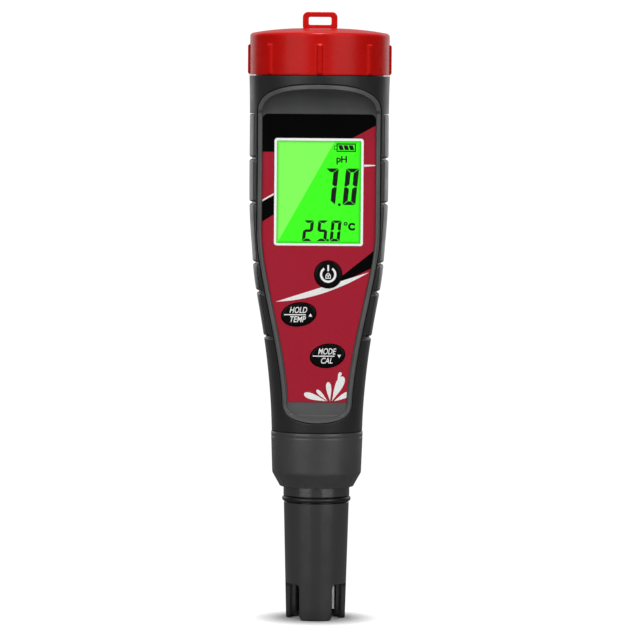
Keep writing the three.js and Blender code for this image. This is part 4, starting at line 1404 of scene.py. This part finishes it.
def sleeve_shape():
    """Probe sleeve: three prongs with rounded feet, seal grooves, flange and spigot."""
    shape = Shape()
    r_mid = 8.45
    half = rad(PRONG_HALF) * r_mid
    gap = rad(120 - 2 * PRONG_HALF) * r_mid
    straight = SLOT_TOP - SLOT_CORNER
    join = 12.5

    def foot_line(s):
        """Height of a prong's foot at s across it from its middle."""
        out = abs(s) - (half - FOOT_CORNER)
        if out <= 0:
            return 0.0
        return FOOT_CORNER - math.sqrt(max(FOOT_CORNER**2 - min(out, FOOT_CORNER) ** 2, 0.0))

    def slot_line(s):
        """Height of the slot's top at s in from its side."""
        s = min(s, gap - s)
        if s >= SLOT_CORNER:
            return SLOT_TOP
        return straight + math.sqrt(max(SLOT_CORNER**2 - (SLOT_CORNER - s) ** 2, 0.0))

    def edge_distance(s, z):
        """Distance from the prong's or slot's border; s is measured from the slot's side."""
        if z <= straight:
            side = -s
        else:
            side = math.hypot(min(s - SLOT_CORNER, 0.0), z - straight) - SLOT_CORNER
        across = s + half
        out = abs(across) - (half - FOOT_CORNER)
        if s > 0:
            return side
        if out > 0 and z < FOOT_CORNER:
            low = FOOT_CORNER - math.hypot(out, FOOT_CORNER - z)
        else:
            low = z
        return min(side, low)

    def surface(turn, z, distance, outside):
        if outside:
            r = sleeve_radius(max(z, SLEEVE_ROUND)) - fillet(distance, 0.4)
        else:
            r = SLEEVE_BORE + fillet(distance, 0.25)
        return polar(turn, r, z)

    def prong_height(s, lift):
        return mix(foot_line(s), straight, lift / straight)

    def arch_height(s, lift):
        return mix(slot_line(s - half), join, lift / (join - straight))

    dense = [0, 0.06, 0.14, 0.25, 0.4, 0.6, 0.85, 1.15]  # places near an edge
    across = dense + spread(1.6, 2 * half - 1.6, 14) + [2 * half - d for d in reversed(dense)]
    between = dense + spread(1.6, gap - 1.6, 8) + [gap - d for d in reversed(dense)]
    up = dense + spread(1.6, straight - 1.0, 8) + [straight - 0.5, straight]
    over = dense + [1.5, 1.9, 2.4, 3.0, join - straight]
    ring = []
    for middle in (0, 120, 240):

        def patch(places, lifts, outside, height):
            """Rows of one stretch of the wall, at places round it from the prong's middle."""
            rows = []
            for lift in lifts:
                row = []
                for s in places:
                    z = height(s, lift)
                    beside = abs(s) - half if s <= half else min(s - half, half + gap - s)
                    turn = middle + math.degrees(s / r_mid)
                    row.append(surface(turn, z, edge_distance(beside, z), outside))
                rows.append(row)
            shape.grid(rows)
            return rows

        prong = [a - half for a in across]
        opening = [a + half for a in between]
        lower = []
        arch = []
        for outside in (True, False):
            lower.append(patch(prong, up, outside, prong_height))
            patch(prong, over, outside, lambda s, lift: straight + lift)
            arch.append(patch(opening, over, outside, arch_height))
        for outer, inner in (lower, arch):
            shape.grid([outer[0], inner[0]])
        for column in (0, -1):
            shape.grid([[row[column] for row in rows] for rows in lower])
        ring += [middle + math.degrees(s / r_mid) for s in prong[:-1] + opening[:-1]]
    flange, shelf = 42.6, 44.2
    low, high = SLEEVE_SEAL[2] - 0.85, SLEEVE_SEAL[2] + 0.85
    profile = [(sleeve_radius(z), z) for z in (join, 18, 24, 30)]
    profile += [(9.14, low - 0.15), (9.02, low), (8.0, low), (8.0, high), (9.15, high), (9.27, high + 0.15)]
    profile += [(9.27, 37), (9.27, flange), (10.6, flange), (10.8, flange + 0.2), (10.8, shelf - 0.2)]
    low, high = SPIGOT_SEAL[2] - 0.8, SPIGOT_SEAL[2] + 0.8
    profile += [(10.6, shelf), (8.55, shelf), (8.55, low), (7.15, low), (7.15, high), (8.55, high)]
    profile += [(8.55, 49.1), (8.3, 49.4), (7.1, 49.4), (SLEEVE_BORE, 49.2), (SLEEVE_BORE, join)]
    shape.grid([turned_row(ring, r, z) for r, z in profile], around=True)
    return shape


def ring_shape(radius, tube, z):
    """O-ring with a round section."""
    angles = spread(0, TWO_PI, 20)
    return turned_shape([(radius + tube * math.cos(a), z + tube * math.sin(a)) for a in angles])


def box_profile(node, inner=0.0, edge=0.12):
    """Ring or disc profile with rounded edges, as tall and wide as a turned CAD node."""
    low, high = corners(node)
    outer, bottom, top = (high[0] - low[0]) / 2, low[2], high[2]
    start = [(inner, bottom + edge), (inner + edge, bottom)] if inner else [(0, bottom)]
    stop = [(inner + edge, top), (inner, top - edge), (inner, bottom + edge)] if inner else [(0, top)]
    sides = [(outer - edge, bottom), (outer - edge * 0.3, bottom + edge * 0.3), (outer, bottom + edge)]
    sides += [(outer, top - edge), (outer - edge * 0.3, top - edge * 0.3), (outer - edge, top)]
    return start + sides + stop


def cell_shape(node, up):
    """AAA cell: shrink-wrapped jacket, bare ends and a button at one of them."""
    low, high = corners(node)
    x, y, radius = (low[0] + high[0]) / 2, (low[1] + high[1]) / 2, (high[0] - low[0]) / 2
    nub = 1.0
    tall = high[2] - low[2] - nub
    profile = [(0, 0), (3.6, 0), (3.75, 0.12), (4.35, 0.12), (4.5, 0), (radius - 0.15, 0.12)]
    profile += [(radius, 0.4), (radius, tall - 0.4), (radius - 0.15, tall - 0.12), (4.4, tall)]
    profile += [(4.2, tall - 0.35), (2.2, tall - 0.35), (1.9, tall), (1.88, tall + nub - 0.2)]
    profile += [(1.7, tall + nub), (0, tall + nub)]
    points = [(r, low[2] + h if up else high[2] - h) for r, h in profile]
    return turned_shape(points, 72, x, y, lambda j: 0 if 3 <= j <= 9 else 1)


# ---------------------------------------------------------------- assembly
def build_case():
    body = "meter_body"
    make_piece("housing_shell", housing_shape(), [BODY], body, ["housing"])
    make_piece("front_cover_shell", cover_shape(), [COVER], body, ["front_cover"])
    for side, word in ((1, "right"), (-1, "left")):
        node = "side_grip_" + word
        make_piece("grip_pad_" + word, grip_shape(side), [GRIP], body, [node])
    inks = [CRIMSON, BLACK_INK, WHITE_INK]
    make_piece("panel_label", label_shape(), inks, body, ["label"])
    pane = [WINDOW, BORDER_INK]
    make_piece("window_pane", window_shape(), pane, body, ["display_window"])
    make_piece("lcd_panel", lcd_shape(), LCD, body, ["lcd_glass"])
    make_piece("lcd_segments", segments_shape(), [LCD_INK], body)


def build_keys():
    legends = {
        "power": power_legend(KEYS[0]),
        "hold": word_legend(KEYS[1], "HOLD", "TEMP", (4.9, 4.4), True),
        "mode": word_legend(KEYS[2], "MODE", "CAL", (5.1, 3.2), False),
    }
    for key in KEYS:
        name = key[0]
        body = name + "_button"
        make_piece(name + "_key_cap", key_shape(key), [KEY_RUBBER], body, [name + "_key"])
        make_piece(name + "_legend", legends[name], [LEGEND], body)


def build_cells():
    for word, up in (("left", True), ("right", False)):
        node = "cell_" + word
        shape = cell_shape(node, up)
        make_piece(node + "_jacket", shape, [JACKET, STEEL], "meter_body", [node])


def build_cap():
    make_piece("battery_cap_shell", cap_shape(), [CAP], "cap", ["battery_cap"])
    gasket = turned_shape(box_profile("cap_gasket", 17.35, 0.2))
    make_piece("cap_gasket_ring", gasket, [SEAL], "cap_seal", ["cap_gasket"])


def build_probe():
    body = "electrode"
    make_piece("collar_nut", collar_shape(), [COLLAR], "collar", ["electrode_collar"])
    make_piece("probe_sleeve", sleeve_shape(), [SLEEVE], body, ["electrode_sleeve"])
    for word, sizes in (("sleeve", SLEEVE_SEAL), ("spigot", SPIGOT_SEAL)):
        make_piece(word + "_seal", ring_shape(*sizes), [SEAL], body, [word + "_oring"])
    washer = turned_shape(box_profile("collar_washer", 9.5))
    make_piece("collar_washer_ring", washer, [CERAMIC], "collar_slider", ["collar_washer"])


build_case()
build_keys()
build_cells()
build_cap()
build_probe()

# CAD nodes that are carried over, by their material
KEPT = (
    (SEAL, "cover_gasket lcd_connector_strip"),
    (WHITE_PLASTIC, "lcd_backlight lcd_holder"),
    (CIRCUIT, "main_board"),
    (CHIP, "microcontroller amplifier_chip electrode_socket electrode_plug"),
    (CHIP, "power_switch hold_switch mode_switch"),
    (COPPER, "sensor_ribbon"),
    (INNER, "battery_cage contact_disc"),
    (BRASS, "cap_contact plug_pins power_plunger hold_plunger mode_plunger"),
    (STEEL, "cap_spring cell_spring cell_contact_left cell_contact_right"),
    (STEEL, "silver_wire temperature_sensor board_screw_1 board_screw_2 board_screw_3 board_screw_4"),
    (GLASS, "glass_electrode"),
    (CERAMIC, "reference_junction"),
)
for material, names in KEPT:
    for node in names.split():
        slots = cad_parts[node].data.materials
        slots.clear()
        slots.append(material)


# ---------------------------------------------------------------- floor, lights and camera
SHADOW_FADE_START, SHADOW_FADE_END = 0.0095, 0.018  # the grey floor fades out into the white surroundings between these distances from the axis: a painted contact shadow


def build_floor():
    """Grey floor disc that fades into the white surroundings just past the foot: a painted contact shadow
    laid over the real one. To all rays but the camera's it is a dark grey.
    """
    half = 0.8
    mesh = bpy.data.meshes.new("floor")
    places = [(-half, -half, 0), (half, -half, 0), (half, half, 0), (-half, half, 0)]
    mesh.from_pydata(places, [], [(0, 1, 2, 3)])
    n = Nodes("floor_painted_shadow", 0.9)
    # painted shadow: mid grey floor, faded out below by distance from the axis
    n.colours((0.62, 0.62, 0.62), (0.64, 0.64, 0.64), n.noise(400.0, 3.0))
    n.set("Specular IOR Level", 0.1)
    away = n.add("ShaderNodeVectorMath", operation="LENGTH")
    n.join(n.place, away.inputs[0])
    shadow_fade = n.feed("ShaderNodeMapRange", away.outputs["Value"], SHADOW_FADE_START, SHADOW_FADE_END)
    gone = n.feed("ShaderNodeBsdfTransparent")
    shown = n.feed("ShaderNodeMixShader", shadow_fade, n.shader.outputs[0], gone)
    dim = n.feed("ShaderNodeBsdfDiffuse", grey(0.16))
    n.join(n.by_ray(dim, shown), n.tree.nodes["Material Output"].inputs["Surface"])
    mesh.materials.append(n.made)
    show("floor", mesh)


def set_ramp(node, stops):
    """Put grey stops, as (position, value), on a ramp that has two to begin with."""
    ramp = node.color_ramp
    for i, (position, value) in enumerate(stops):
        stop = ramp.elements[i] if i < 2 else ramp.elements.new(position)
        stop.position = position
        stop.color = grey(value)


# brightness of the surroundings, round from the front (behind the camera) to the back, in degrees
SURROUND = ((0, 0.2), (180, 0.4), (18, 0.15), (60, 0.05), (128, 0.05), (141, 1.1), (160, 1.1), (169, 0.45))


def build_world():
    """White surroundings, with darker flats to the sides and a grey one behind the camera."""
    world = bpy.data.worlds.new("studio")
    bpy.context.scene.world = world
    world.use_nodes = True
    n = Tree(world.node_tree)
    n.tree.nodes.clear()
    split = n.add("ShaderNodeSeparateXYZ")
    n.join(n.add("ShaderNodeTexCoord").outputs["Generated"], split.inputs[0])
    back = n.feed("ShaderNodeMath", split.outputs["Y"], -1.0, operation="MULTIPLY")
    turn = n.feed("ShaderNodeMath", split.outputs["X"], back, operation="ARCTAN2")
    whole = n.feed("ShaderNodeMath", turn, operation="ABSOLUTE")
    share = n.feed("ShaderNodeMath", whole, math.pi, operation="DIVIDE")
    ring = n.add("ShaderNodeValToRGB")
    set_ramp(ring, [(degrees / 180, value) for degrees, value in SURROUND])
    n.join(share, ring.inputs["Fac"])
    over = n.add("ShaderNodeValToRGB")
    set_ramp(over, [(0.35, 0), (0.8, 1)])
    n.join(split.outputs["Z"], over.inputs["Fac"])
    blend = n.add("ShaderNodeMix", data_type="RGBA")
    n.join(over.outputs["Color"], blend.inputs["Factor"])
    n.join(ring.outputs["Color"], blend.inputs["A"])
    blend.inputs["B"].default_value = grey(0.35)
    light = n.feed("ShaderNodeBackground", blend.outputs["Result"])
    seen = n.feed("ShaderNodeBackground", grey(1.0), 1.05)
    n.join(n.by_ray(light, seen), n.add("ShaderNodeOutputWorld").inputs["Surface"])


def aim_at(thing, place, target):
    """Put a light or a camera at a place, looking at a target."""
    thing.location = place
    thing.rotation_mode = "QUATERNION"
    thing.rotation_quaternion = (Vector(target) - thing.location).to_track_quat("-Z", "Y")


def add_softbox(name, degrees, distance, height, width, tall, power):
    lamp = bpy.data.lights.new(name, "AREA")
    lamp.shape = "RECTANGLE"
    lamp.size = width
    lamp.size_y = tall
    lamp.energy = power
    box = show(name, lamp)
    aim_at(box, polar(degrees, distance, height), (0, 0, 0.09))
    box.visible_camera = False


def build_lights():
    """Two tall softboxes in front, a small lamp overhead and one high in front for the ledges."""
    for word, degrees in (("left", -39), ("right", 39)):
        add_softbox("softbox_" + word, degrees, 0.95, 0.25, 0.66, 1.5, 7.4)
    add_softbox("overhead", 0, 0.0, 1.4, 0.12, 0.12, 7.5)
    add_softbox("edge_light", 0, 0.45, 1.35, 0.1, 0.1, 2.0)


CAMERA_PLACE = (0.0, -1.2, 0.1527)
CAMERA_AIM = (0.00063, 0, 0.0840)
CAMERA_LENS = 241
CAMERA_ROLL = 0.46  # degrees


def build_camera():
    camera = bpy.data.cameras.new("camera")
    camera.sensor_width = 36
    camera.lens = CAMERA_LENS
    camera.clip_start = 0.05
    camera.clip_end = 20
    seat = show("camera", camera)
    aim_at(seat, CAMERA_PLACE, CAMERA_AIM)
    seat.rotation_mode = "XYZ"
    seat.rotation_euler.rotate_axis("Z", rad(CAMERA_ROLL))
    bpy.context.scene.camera = seat


build_floor()
build_world()
build_lights()
build_camera()
bpy.context.scene.view_settings.view_transform = "Standard"
bpy.context.scene.view_settings.look = "None"
